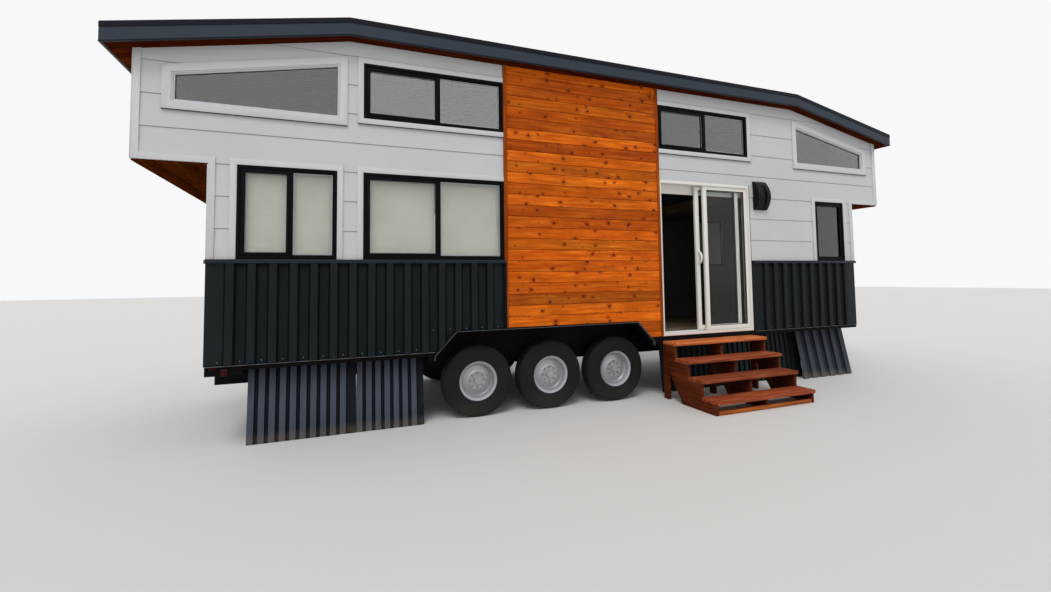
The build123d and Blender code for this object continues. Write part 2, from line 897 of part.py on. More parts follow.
# Trailer rails and crossmembers
rail_ys = (front + rail_inset, back - rail_inset - rail_width)
rail_low = deck_bottom - rail_height
with BuildPart() as chassis_rails:
    for rail_y in rail_ys:
        block(west, east, rail_y, rail_y + rail_width, rail_low, deck_bottom)
chassis_rails.part.label = "chassis_rails"
export_step(chassis_rails.part, "parts/chassis_rails.step")

with BuildPart() as crossmembers:
    cross_count = int((body_length - cross_width) // cross_spacing)
    cross_step = (body_length - cross_width) / cross_count
    for index in range(cross_count + 1):
        cross_x = west + index * cross_step
        block(
            cross_x, cross_x + cross_width, rail_ys[0] + rail_width, rail_ys[1],
            deck_bottom - cross_height, deck_bottom,
        )
crossmembers.part.label = "crossmembers"
export_step(crossmembers.part, "parts/crossmembers.step")

# Axles: a square tube under the rails with a trailing arm and spindle at each end
spindle_z = tyre_radius
tyre_outer_y = (front + tyre_inset, back - tyre_inset)
arm_inner = tyre_inset + tyre_width + wheel_clearance
axle_xs = [west + axle_first + index * axle_spacing for index in range(axle_count)]
with BuildPart() as axles:
    for axle_x in axle_xs:
        tube_x = axle_x + axle_trail
        arm_low_y = front + arm_inner
        arm_high_y = back - arm_inner
        block(
            tube_x - axle_section / 2, tube_x + axle_section / 2, arm_low_y, arm_high_y,
            rail_low - axle_section, rail_low,
        )
        for y_low in (arm_low_y, arm_high_y - arm_thickness):
            tube_z = rail_low - axle_section / 2
            long_prism(
                [
                    (axle_x - arm_width / 2, spindle_z - arm_width / 2),
                    (axle_x + arm_width / 2, spindle_z - arm_width / 2),
                    (tube_x + arm_width / 2, tube_z - arm_width / 2),
                    (tube_x + arm_width / 2, rail_low),
                    (tube_x - arm_width / 2, rail_low),
                    (axle_x - arm_width / 2, spindle_z + arm_width / 2),
                ],
                y_low, y_low + arm_thickness,
            )
        for y_low, y_high in (
            (front + tyre_inset + tyre_width + seat_clearance, arm_low_y + arm_thickness),
            (arm_high_y - arm_thickness, back - tyre_inset - tyre_width - seat_clearance),
        ):
            with BuildSketch(Plane.XZ.offset(-y_high)) as spindle:
                with Locations((axle_x, spindle_z)):
                    Circle(spindle_radius)
            extrude(spindle.sketch, amount=y_high - y_low)
axles.part.label = "axles"
export_step(axles.part, "parts/axles.step")

# Wheels: a tyre on a dished disc with its hub, closed behind by the brake drum
for side, outer_y, inward in (("front", tyre_outer_y[0], 1), ("back", tyre_outer_y[1], -1)):
    for index, axle_x in enumerate(axle_xs):
        wheel_name = f"road_wheel_{side}_{index + 1}"
        centre = (axle_x, outer_y, spindle_z)
        with BuildPart() as wheel:
            with BuildSketch(Plane(origin=centre, x_dir=(1, 0, 0), z_dir=(0, 0, 1))):
                Polygon(
                    (0, inward * hub_reach), (hub_radius, inward * hub_reach),
                    (hub_radius, inward * rim_dish), (rim_radius, inward * rim_dish),
                    (rim_radius, 0), (tyre_radius, 0),
                    (tyre_radius, inward * tyre_width), (0, inward * tyre_width),
                    align=None,
                )
            revolve(axis=Axis(centre, (0, 1, 0)))
        wheel.part.label = wheel_name
        export_step(wheel.part, f"parts/{wheel_name}.step")

# Jacks that carry the corners of the trailer
with BuildPart() as corner_jacks:
    for jack_x in (west + jack_inset, east - jack_inset):
        for rail_y in rail_ys:
            jack_y = rail_y + rail_width / 2
            block(
                jack_x - jack_pad / 2, jack_x + jack_pad / 2,
                jack_y - jack_pad / 2, jack_y + jack_pad / 2, 0, jack_pad_thickness,
            )
            block(
                jack_x - jack_inner / 2, jack_x + jack_inner / 2,
                jack_y - jack_inner / 2, jack_y + jack_inner / 2,
                jack_pad_thickness, jack_inner_height,
            )
            block(
                jack_x - jack_outer / 2, jack_x + jack_outer / 2,
                jack_y - jack_outer / 2, jack_y + jack_outer / 2,
                jack_inner_height, rail_low,
            )
corner_jacks.part.label = "corner_jacks"
export_step(corner_jacks.part, "parts/corner_jacks.step")

# Tongue: two beams that meet at the coupler, under a plate that holds a jack
coupler_x = east + tongue_reach - coupler_length
beam_spread = rail_ys[1] + rail_width - middle_y
beam_fall = (beam_spread - coupler_width / 2) / (coupler_x - east)
beam_cut = tongue_beam_width * Vector(1, beam_fall).length
beam_fork_x = east + (beam_spread - beam_cut) / beam_fall
plate_z = rail_low + tongue_beam_height
plate_near = coupler_x - tongue_plate_setback
plate_far = plate_near - tongue_plate_length


def beam_reach(x):
    """How far the tongue's outer edges are from its middle at a place along it."""
    return beam_spread - (x - east) * beam_fall


with BuildPart() as tongue_beams:
    with BuildSketch(Plane.XY.offset(rail_low)) as beams:
        Polygon(
            (east, middle_y + beam_spread), (east, middle_y + beam_spread - beam_cut),
            (beam_fork_x, middle_y),
            (east, middle_y - beam_spread + beam_cut), (east, middle_y - beam_spread),
            (coupler_x, middle_y - coupler_width / 2),
            (coupler_x, middle_y + coupler_width / 2),
            align=None,
        )
    extrude(beams.sketch, amount=tongue_beam_height)
    with BuildSketch(Plane.XY.offset(plate_z)) as plate:
        Polygon(
            (plate_near, middle_y - beam_reach(plate_near)),
            (plate_near, middle_y + beam_reach(plate_near)),
            (plate_far, middle_y + beam_reach(plate_far)),
            (plate_far, middle_y - beam_reach(plate_far)),
            align=None,
        )
    extrude(plate.sketch, amount=tongue_plate_thickness)
tongue_beams.part.label = "tongue_beams"
export_step(tongue_beams.part, "parts/tongue_beams.step")

with BuildPart() as tongue_jack:
    jack_x = (plate_near + plate_far) / 2
    for size, z_low, z_high in (
        (jack_pad, 0, jack_pad_thickness),
        (jack_inner, jack_pad_thickness, jack_inner_height),
        (jack_outer, jack_inner_height, plate_z),
        (jack_outer, plate_z + tongue_plate_thickness, plate_z + tongue_jack_head),
    ):
        half = size / 2
        block(jack_x - half, jack_x + half, middle_y - half, middle_y + half, z_low, z_high)
tongue_jack.part.label = "tongue_jack"
export_step(tongue_jack.part, "parts/tongue_jack.step")

with BuildPart() as tow_coupler:
    neck_x = coupler_x + coupler_neck_length
    tip_x = coupler_x + coupler_length
    coupler_low = rail_low + coupler_lift
    with BuildSketch(Plane.XY.offset(coupler_low)):
        with BuildLine():
            Polyline(
                (neck_x, middle_y + coupler_neck_width / 2),
                (coupler_x, middle_y + coupler_width / 2),
                (coupler_x, middle_y - coupler_width / 2),
                (neck_x, middle_y - coupler_neck_width / 2),
                (tip_x - coupler_neck_width / 2, middle_y - coupler_width / 2),
            )
            ThreePointArc(
                (tip_x - coupler_neck_width / 2, middle_y - coupler_width / 2),
                (tip_x, middle_y),
                (tip_x - coupler_neck_width / 2, middle_y + coupler_width / 2),
            )
            Line(
                (tip_x - coupler_neck_width / 2, middle_y + coupler_width / 2),
                (neck_x, middle_y + coupler_neck_width / 2),
            )
        make_face()
    extrude(amount=coupler_height)
    socket_x = tip_x - coupler_neck_width / 2 - coupler_socket_radius / 2
    with BuildSketch(Plane.XY.offset(coupler_low)):
        with Locations((socket_x, middle_y)):
            Circle(coupler_socket_radius)
    extrude(amount=coupler_socket_depth, mode=Mode.SUBTRACT)
tow_coupler.part.label = "tow_coupler"
export_step(tow_coupler.part, "parts/tow_coupler.step")

# Tail lights and small marker lights on the edge of the deck
with BuildPart() as tail_lights:
    for face, outward in ((front, -1), (back, 1)):
        for inset, drop, height, depth in (
            (tail_light_inset, tail_light_drop, tail_light_height, tail_light_depth),
            (marker_light_inset, marker_light_drop, marker_light_height, marker_light_depth),
        ):
            block(
                west + inset, west + inset + tail_light_width,
                *sorted((face, face + outward * depth)),
                floor_z - drop - height, floor_z - drop,
            )
tail_lights.part.label = "tail_lights"
export_step(tail_lights.part, "parts/tail_lights.step")


# Skirt sheets that lean against the underside of the body
def skirt_sheet_at(start, width, foot_y, lean):
    """One ribbed sheet that leans inwards from its foot on the ground."""
    near = []
    for index in range(int(width // skirt_pitch)):
        along = start + index * skirt_pitch
        near += [
            (along, 0), (along + skirt_flat, 0),
            (along + skirt_flat + skirt_flank, skirt_rib_depth),
            (along + skirt_pitch - skirt_flank, skirt_rib_depth),
        ]
    near.append((start + width, 0))
    far = [(along, depth + skirt_sheet) for along, depth in near][::-1]
    up = Vector(0, lean, 1).normalized()
    plane = Plane(origin=(0, foot_y, 0), x_dir=(1, 0, 0), z_dir=tuple(up)).offset(-skirt_trim)
    with BuildSketch(plane) as sheet:
        Polygon(*near, *far, align=None)
    extrude(sheet.sketch, amount=deck_bottom / up.Z + 2 * skirt_trim)
    block(roof_west, roof_east, roof_front, back, -2 * skirt_trim, 0, Mode.SUBTRACT)
    sheet_top = deck_bottom - seat_clearance
    block(
        roof_west, roof_east, roof_front, back,
        sheet_top, sheet_top + 2 * skirt_trim, Mode.SUBTRACT,
    )


with BuildPart() as skirts:
    for start, width, setback, lean in (
        (skirt_left_start, skirt_left_width, skirt_setback, skirt_left_lean),
        (skirt_middle_start, skirt_middle_width, skirt_setback, skirt_middle_lean),
        (skirt_recess_start, skirt_recess_width, skirt_recess_setback, skirt_recess_lean),
        (skirt_right_start, skirt_right_width, skirt_setback, skirt_right_lean),
    ):
        skirt_sheet_at(west + start, width, front + setback, lean)
skirts.part.label = "skirts"
export_step(skirts.part, "parts/skirts.step")
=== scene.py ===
"""Dresses the tiny house: lap siding, stained boards, ribbed metal, windows, door, steps and wheels."""

import logging
import math
from dataclasses import dataclass, field, replace
from enum import Enum
from typing import Any, Callable, Iterable, Sequence

import bmesh
import bpy
from mathutils import Matrix, Vector


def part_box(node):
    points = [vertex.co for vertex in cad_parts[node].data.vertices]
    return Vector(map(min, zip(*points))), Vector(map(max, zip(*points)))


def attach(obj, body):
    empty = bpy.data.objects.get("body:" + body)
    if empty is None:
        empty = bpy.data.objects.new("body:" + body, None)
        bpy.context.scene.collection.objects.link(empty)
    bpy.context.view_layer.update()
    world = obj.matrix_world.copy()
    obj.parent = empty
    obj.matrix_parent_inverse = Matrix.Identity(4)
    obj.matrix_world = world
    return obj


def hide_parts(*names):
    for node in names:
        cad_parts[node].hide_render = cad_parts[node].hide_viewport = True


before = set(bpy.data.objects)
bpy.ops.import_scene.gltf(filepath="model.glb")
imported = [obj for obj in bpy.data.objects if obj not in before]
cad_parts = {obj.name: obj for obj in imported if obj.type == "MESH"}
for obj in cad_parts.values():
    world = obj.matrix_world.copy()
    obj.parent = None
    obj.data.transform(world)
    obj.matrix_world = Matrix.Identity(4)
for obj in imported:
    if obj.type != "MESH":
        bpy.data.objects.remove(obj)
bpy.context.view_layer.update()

LOG = logging.getLogger("tiny_house")

PHOTO_WIDTH = 1051
PHOTO_HEIGHT = 592

# Distances in metres and angles in radians that the mesh helpers go by
WELD = 1e-5
HAIR = 0.0005
SHARP = 0.6
EASED = 0.5
LEVEL = 0.01

# Drop of the roof past its kinks, in metres a metre
ROOF_SLOPE = 0.202

# Places along the house from its left corner, heights above its floor and sizes, in metres
ROOF_KINK = 1.229
WOOD_START = 2.907
WOOD_END = 5.028
RIGHT_START = 6.570
ARCH_TOP = 0.198
UPPER_SILL = 2.440
END_HALF = 0.6
END_HEIGHT = 0.300
TRIM_WIDTH = 0.056
TRIM_PROUD = 0.020
END_PROUD = 0.008
LAP_PITCH = 0.304
BOARD_PITCH = 0.128

Outline = Sequence[tuple[float, float]]
Colour = tuple[float, float, float, float]
Socket = bpy.types.NodeSocket
Mesh = bmesh.types.BMesh


class Axis(Enum):
    """An axis of the row frame."""

    X = 0
    Y = 1
    Z = 2

    @property
    def vector(self) -> Vector:
        """Unit vector along the axis."""
        return Vector([float(index == self.value) for index in range(3)])


class Side(Enum):
    """A long side of the house, by the direction that it faces along Y."""

    FRONT = -1
    BACK = 1

    @property
    def word(self) -> str:
        """The side's word in the names of nodes and pieces."""
        return self.name.lower()

    @property
    def face(self) -> float:
        """Y of the wall's outer face."""
        return HOUSE.front if self is Side.FRONT else HOUSE.back

    @property
    def right_start(self) -> float:
        """Where the right wainscot starts along this side."""
        return RIGHT_START if self is Side.FRONT else WOOD_END

    def out(self, distance: float) -> float:
        """Y at a distance outwards from the wall's face."""
        return self.face + self.value * distance


@dataclass(frozen=True)
class Anchors:
    """The lines of the frame that every piece is set from, in metres."""

    west: float
    east: float
    front: float
    back: float
    floor: float
    deck_bottom: float
    eave: float
    loft_west: float
    loft_east: float

    @classmethod
    def read(cls) -> "Anchors":
        """Reads the lines from the CAD nodes."""
        low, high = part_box("floor_deck")
        wall_low, wall_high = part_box("front_wall_left")
        return cls(
            low[0], high[0], low[1], high[1], high[2], low[2], wall_high[2],
            wall_low[0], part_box("front_wall_right")[1][0],
        )

    @property
    def middle_y(self) -> float:
        """Y of the middle of the body."""
        return (self.front + self.back) / 2

    def wall_top(self, x: float) -> float:
        """Z of the wall's top at an X, lower past the two kinks of the roof."""
        return self.eave - ROOF_SLOPE * max(self.west + ROOF_KINK - x, x - self.east + ROOF_KINK, 0)


HOUSE = Anchors.read()
LOFT_LINE = HOUSE.floor + 1.870
WAINSCOT_TOP = HOUSE.floor + 0.974
WAINSCOT_LOW = HOUSE.floor - 0.008
CAP_LOW = WAINSCOT_TOP - 0.038
LAP_START = HOUSE.floor + 1.264 - LAP_PITCH * 2
BOARD_START = HOUSE.floor + 0.330 - BOARD_PITCH * 3


# Colour and node helpers


def srgb(red: float, green: float, blue: float) -> Colour:
    """Turns a colour written from 0 to 255 into linear light."""
    def linear(value: float) -> float:
        """Linear light of one part."""
        share = value / 255
        return share / 12.92 if share <= 0.04045 else ((share + 0.055) / 1.055) ** 2.4
    return linear(red), linear(green), linear(blue), 1.0


def scaled(colour: Colour, factor: float) -> Colour:
    """A colour made lighter or darker."""
    return tuple(min(part * factor, 1.0) for part in colour[:3]) + (1.0,)


def add_node(
    tree: bpy.types.NodeTree, kind: str, values: dict[Any, Any] | None = None, **settings: Any,
) -> bpy.types.Node:
    """Adds a node to a tree.

    Args:
        tree: The tree.
        kind: The node's type, without its ShaderNode prefix.
        values: Input names or places, each with a value or a socket to link.
        settings: Attributes of the node.

    Returns:
        The new node.
    """
    made = tree.nodes.new("ShaderNode" + kind)
    for label, value in settings.items():
        setattr(made, label, value)
    for key, value in (values or {}).items():
        if isinstance(value, Socket):
            tree.links.new(value, made.inputs[key])
        else:
            made.inputs[key].default_value = value
    return made


class Shader:
    """Writes one material's nodes around a Principled shader."""

    def __init__(self, name: str, **inputs: Any) -> None:
        """Starts a material.

        Args:
            name: Name of the material.
            inputs: Values of the shader's own sockets, with _ for a space.
        """
        self.material = bpy.data.materials.new(name)
        self.material.use_nodes = True
        self.tree = self.material.node_tree
        self.surface = self.tree.nodes["Principled BSDF"]
        for label, value in inputs.items():
            self.surface.inputs[label.replace("_", " ")].default_value = value

    def node(self, kind: str, values: dict[Any, Any] | None = None, **settings: Any) -> bpy.types.Node:
        """Adds a node to the material."""
        return add_node(self.tree, kind, values, **settings)

    def set(self, label: str, socket: Socket) -> None:
        """Links a socket to one of the shader's inputs."""
        self.tree.links.new(socket, self.surface.inputs[label])

    def place(self, scale: Sequence[float] = (1, 1, 1)) -> Socket:
        """Object coordinates, scaled along each axis."""
        coordinates = self.node("TexCoord").outputs["Object"]
        return self.node("Mapping", {"Vector": coordinates, "Scale": scale}).outputs[0]

    def noise(
        self, vector: Socket, scale: float, detail: float = 3.0, distortion: float = 0.0,
    ) -> Socket:
        """A noise value from 0 to 1."""
        values = {"Vector": vector, "Scale": scale, "Detail": detail, "Distortion": distortion}
        return self.node("TexNoise", values).outputs[0]

    def ramp(
        self, value: Socket, stops: Sequence[tuple[float, Colour]],
    ) -> Socket:
        """A colour ramp with the given stops."""
        made = self.node("ValToRGB", {0: value})
        elements = made.color_ramp.elements
        for index, (place, colour) in enumerate(stops):
            stop = elements[index] if index < 2 else elements.new(place)
            stop.position = place
            stop.color = colour
        return made.outputs[0]

    def fade(
        self, value: Socket, low: float, high: float,
        start: float = 0.0, end: float = 1.0,
    ) -> Socket:
        """Maps a value between low and high to between start and end, clamped and eased."""
        values = {"Value": value, "From Min": low, "From Max": high, "To Min": start, "To Max": end}
        return self.node("MapRange", values, interpolation_type="SMOOTHSTEP").outputs[0]

    def mix(self, share: Any, first: Any, second: Any, blend: str = "MIX") -> Socket:
        """Mixes two colours."""
        made = self.node("Mix", {0: share, 6: first, 7: second}, data_type="RGBA", blend_type=blend)
        return made.outputs[2]

    def maths(self, operation: str, first: Any, second: Any = 0.0) -> Socket:
        """One sum of two values."""
        return self.node("Math", {0: first, 1: second}, operation=operation).outputs[0]

    def bump(self, height: Socket, distance: float, strength: float = 1.0) -> None:
        """Gives the surface a fine relief of that height, in metres."""
        values = {"Height": height, "Distance": distance, "Strength": strength}
        self.set("Normal", self.node("Bump", values).outputs[0])

    def split(self) -> list[Socket]:
        """X, Y and Z of the object coordinates."""
        return list(self.node("SeparateXYZ", {0: self.place()}).outputs)

    def vector(self, *parts: Socket) -> Socket:
        """A vector of up to three values."""
        return self.node("CombineXYZ", dict(enumerate(parts))).outputs[0]

    def times(self, *factors: Any) -> Socket:
        """The product of values."""
        product = factors[0]
        for factor in factors[1:]:
            product = self.maths("MULTIPLY", product, factor)
        return product


@dataclass(frozen=True)
class Coating:
    """A painted, moulded or coated finish with slight changes of tone and gloss."""

    name: str
    slot: str
    colour: Colour
    roughness: float = 0.5
    metallic: float = 0.0
    gloss: float = 0.3
    spread: float = 0.08
    patch: float = 1.5
    grain: Sequence[float] = (60, 60, 60)
    relief: float = 0.0002
    dust: float = 0.0
    dust_top: float = 0.5
    lap_pitch: float = 0.0
    lap_origin: float = 0.0
    lap_shadow_strength: float = 0.48
    shadow_top: float | None = None

    def build(self) -> bpy.types.Material:
        """Writes the material."""
        shader = Shader(self.name, Metallic=self.metallic, Specular_IOR_Level=self.gloss)
        patches = shader.noise(shader.place(), self.patch, 4.0)
        fine = shader.noise(shader.place(self.grain), 1.0, 3.0)
        dark, light = scaled(self.colour, 1 - self.spread), scaled(self.colour, 1 + self.spread)
        tone = shader.ramp(patches, ((0.3, dark), (0.7, light)))
        shade = shader.fade(fine, 0.3, 0.7, 1 - self.spread / 2, 1 + self.spread / 2)
        tone = shader.mix(1.0, tone, shade, "MULTIPLY")
        height = shader.split()[2]
        if self.dust:
            share = shader.fade(height, self.dust_top, 0.0, 0.0, self.dust)
            mottled = shader.times(share, shader.fade(patches, 0.3, 0.6, 0.5, 1.0))
            tone = shader.mix(mottled, tone, srgb(150, 132, 108))
        # Painted shadow: a dark line on each course just beneath the lower edge of the lap above, and a
        # thinner one along that edge itself.
        if self.lap_pitch:
            raised = shader.maths("SUBTRACT", height, self.lap_origin)
            share = shader.maths("FRACT", shader.maths("DIVIDE", raised, self.lap_pitch))
            rest = shader.maths("SUBTRACT", 1.0, share)
            under = shader.fade(rest, 0.009 / self.lap_pitch, 0.001, 0.0, self.lap_shadow_strength)
            lip = shader.fade(share, 0.0015 / self.lap_pitch, 0.0003 / self.lap_pitch, 0.0, self.lap_shadow_strength)
            tone = shader.mix(shader.maths("MAXIMUM", under, lip), tone, srgb(70, 72, 76))
        # Painted shadow: darkest at a height and fading out over 7 cm below it, standing in for the shade
        # under an overhang such as the wainscot's cap.
        if self.shadow_top is not None:
            shade = shader.fade(height, self.shadow_top, self.shadow_top - 0.07, 0.25, 1.0)
            tone = shader.mix(1.0, tone, shade, "MULTIPLY")
        shader.set("Base Color", tone)
        shader.set("Roughness", shader.fade(patches, 0.2, 0.8, self.roughness * 0.85, self.roughness * 1.15))
        shader.bump(fine, self.relief)
        return shader.material


@dataclass(frozen=True)
class Timber:
    """Stained boards with grain, knots and a tone for each board."""

    name: str
    slot: str
    dark: Colour
    middle: Colour
    light: Colour
    along: Axis
    across: Axis
    pitch: float
    origin: float
    counted: Axis | None = None
    knots: float = 1.0
    knot_scale: float = 8.0
    knot_size: float = 0.9
    knot_colour: Colour = srgb(72, 25, 8)
    roughness: float = 0.55
    spread: float = 0.3
    gloss: float = 0.08
    seam: float = 0.0
    warm_above: float | None = None
    warm: Colour = (1.85, 2.15, 1.55, 1.0)
    leans: tuple[Colour, Colour] = ((1.0, 0.86, 0.75, 1.0), (1.0, 1.14, 1.2, 1.0))

    def build(self) -> bpy.types.Material:
        """Writes the material."""
        shader = Shader(self.name, Specular_IOR_Level=self.gloss)
        parts = shader.split()
        along, across = parts[self.along.value], parts[self.across.value]
        third = parts[3 - self.along.value - self.across.value]
        counted = parts[(self.counted or self.across).value]
        courses = shader.maths("DIVIDE", shader.maths("SUBTRACT", counted, self.origin), self.pitch)
        board = shader.maths("FLOOR", courses)
        draw = shader.node("TexWhiteNoise", {"W": board}, noise_dimensions="1D").outputs
        chance = draw["Value"]
        second = shader.node("SeparateColor", {0: draw["Color"]}).outputs[1]
        shift = shader.times(chance, 37.0)
        run = shader.maths("ADD", along, shift)
        core, halo = self.knot_marks(shader, run, across, shift)
        grain, fibre, blotch = self.grain(shader, run, across, third, shift, halo)
        tone = shader.ramp(grain, ((0.22, self.dark), (0.50, self.middle), (0.78, self.light)))
        # Each board has its own strength and its own lean towards red or yellow
        shade = shader.times(
            shader.fade(chance, 0.0, 1.0, 1 - self.spread, 1 + self.spread * 0.55),
            shader.fade(fibre, 0.2, 0.8, 0.92, 1.07), shader.fade(blotch, 0.25, 0.75, 0.82, 1.16),
        )
        tone = shader.mix(1.0, tone, shade, "MULTIPLY")
        tone = shader.mix(1.0, tone, shader.mix(second, *self.leans), "MULTIPLY")
        if self.warm_above is not None:
            share = shader.fade(parts[2], self.warm_above, self.warm_above + 0.03, 0.0, 0.9)
            tone = shader.mix(share, tone, shader.mix(1.0, tone, self.warm, "MULTIPLY"))
        ringed = shader.mix(0.5, self.dark, self.knot_colour)
        tone = shader.mix(shader.times(halo, 0.6), tone, ringed)
        tone = shader.mix(core, tone, self.knot_colour)
        if self.seam:
            tone = self.seamed(shader, tone, shader.maths("SUBTRACT", courses, board), run)
        shader.set("Base Color", tone)
        shader.set("Roughness", shader.fade(grain, 0.3, 0.7, self.roughness + 0.08, self.roughness - 0.06))
        relief = shader.maths("ADD", shader.times(fibre, 0.5), grain)
        shader.bump(shader.maths("SUBTRACT", relief, core), 0.0006)
        return shader.material

    def seamed(self, shader: Shader, tone: Socket, share: Socket, run: Socket) -> Socket:
        """Darkens the edges of each board unevenly, as painted shade along the joints."""
        waver = shader.noise(shader.vector(shader.times(run, 9.0)), 1.0, 3.0)
        reach = shader.times(shader.fade(waver, 0.35, 0.7, 0.5, 1.6), self.seam / self.pitch)
        edge = shader.maths("MINIMUM", share, shader.maths("SUBTRACT", 1.0, share))
        close = shader.maths("DIVIDE", edge, reach)
        dark = shader.mix(1.0, tone, (0.22, 0.17, 0.12, 1.0), "MULTIPLY")
        return shader.mix(shader.fade(close, 1.5, 0.5, 0.0, 0.85), tone, dark)

    def knot_marks(
        self, shader: Shader, run: Socket, across: Socket, shift: Socket,
    ) -> tuple[Socket, Socket]:
        """Knots of many sizes, each a dark core in a softer halo, with upright spike knots between them."""
        raised = shader.maths("ADD", across, shift)
        marks = []
        for scale, stretch, low, high, size in (
            (self.knot_scale, 0.85, 0.15, 1.1, self.knot_size),
            (self.knot_scale * 1.9, 1.7, 0.50, 1.0, self.knot_size * 0.75),
        ):
            place = shader.vector(shader.times(run, stretch), raised)
            wobble = shader.times(shader.noise(place, 52.0, 2.0), 0.13)
            cell = shader.node(
                "TexVoronoi", {"Vector": place, "Scale": scale, "Randomness": 1.0}, voronoi_dimensions="2D",
            ).outputs
            draw = shader.node("SeparateColor", {0: cell["Color"]}).outputs[0]
            reach = shader.maths("ADD", cell["Distance"], wobble)
            marks.append(shader.maths("DIVIDE", reach, shader.fade(draw, low, high, 0.03, size)))
        core = shader.maths(
            "MAXIMUM", shader.fade(marks[0], 0.27, 0.14, 0.0, self.knots),
            shader.fade(marks[1], 0.34, 0.20, 0.0, self.knots * 0.75),
        )
        return core, shader.fade(marks[0], 0.62, 0.16, 0.0, self.knots)

    def grain(
        self, shader: Shader, run: Socket, across: Socket, third: Socket, shift: Socket, halo: Socket,
    ) -> tuple[Socket, Socket, Socket]:
        """Grain that swells round the knots, its fine fibre and slow blotches of stain."""
        swollen = shader.maths("ADD", shader.times(across, 19.0), shader.times(halo, 0.8))
        deep = shader.maths("ADD", shader.times(third, 19.0), shift)
        grain = shader.noise(shader.vector(shader.times(run, 1.3), swollen, deep), 1.6, 6.0, 0.4)
        strands = shader.times(run, 6.0), shader.times(across, 230.0), shader.times(third, 230.0)
        fibre = shader.noise(shader.vector(*strands), 1.0, 2.0)
        stain = shader.times(run, 2.6), shader.times(across, 8.0), shift
        return grain, fibre, shader.noise(shader.vector(*stain), 1.0, 3.0)


@dataclass(frozen=True)
class Pane:
    """Clear glass. Some panes take a bend far from real glass's, so that they reflect more or less: painted
    reflection.
    """

    name: str
    slot: str
    colour: Colour
    bend: float

    def build(self) -> bpy.types.Material:
        """Writes the material."""
        inputs = {"Base_Color": self.colour, "Roughness": 0.0, "IOR": self.bend, "Transmission_Weight": 1.0}
        return Shader(self.name, **inputs).material


@dataclass(frozen=True)
class ShadeCloth:
    """A pale blind with fine level cells."""

    name: str
    slot: str
    colour: Colour
    cell: float = 0.012
    head: float | None = None

    def build(self) -> bpy.types.Material:
        """Writes the material."""
        shader = Shader(self.name, Roughness=0.85, Sheen_Weight=0.2)
        height = shader.split()[2]
        wave = shader.maths("SINE", shader.times(height, 2 * math.pi / self.cell))
        weave = shader.noise(shader.place((260, 260, 900)), 1.0, 2.0)
        soft = shader.noise(shader.place(), 2.0, 2.0)
        shade = shader.times(
            shader.fade(wave, -1, 1, 0.95, 1.0), shader.fade(weave, 0.2, 0.8, 0.95, 1.03),
            shader.fade(soft, 0.25, 0.75, 0.93, 1.04),
        )
        # Painted shade: the cloth darkens over its top 30 cm towards the head, where less light reaches.
        if self.head is not None:
            shade = shader.times(shade, shader.fade(height, self.head - 0.30, self.head, 1.0, 0.82))
        shader.set("Base Color", shader.mix(1.0, self.colour, shade, "MULTIPLY"))
        shader.bump(wave, 0.0008)
        return shader.material


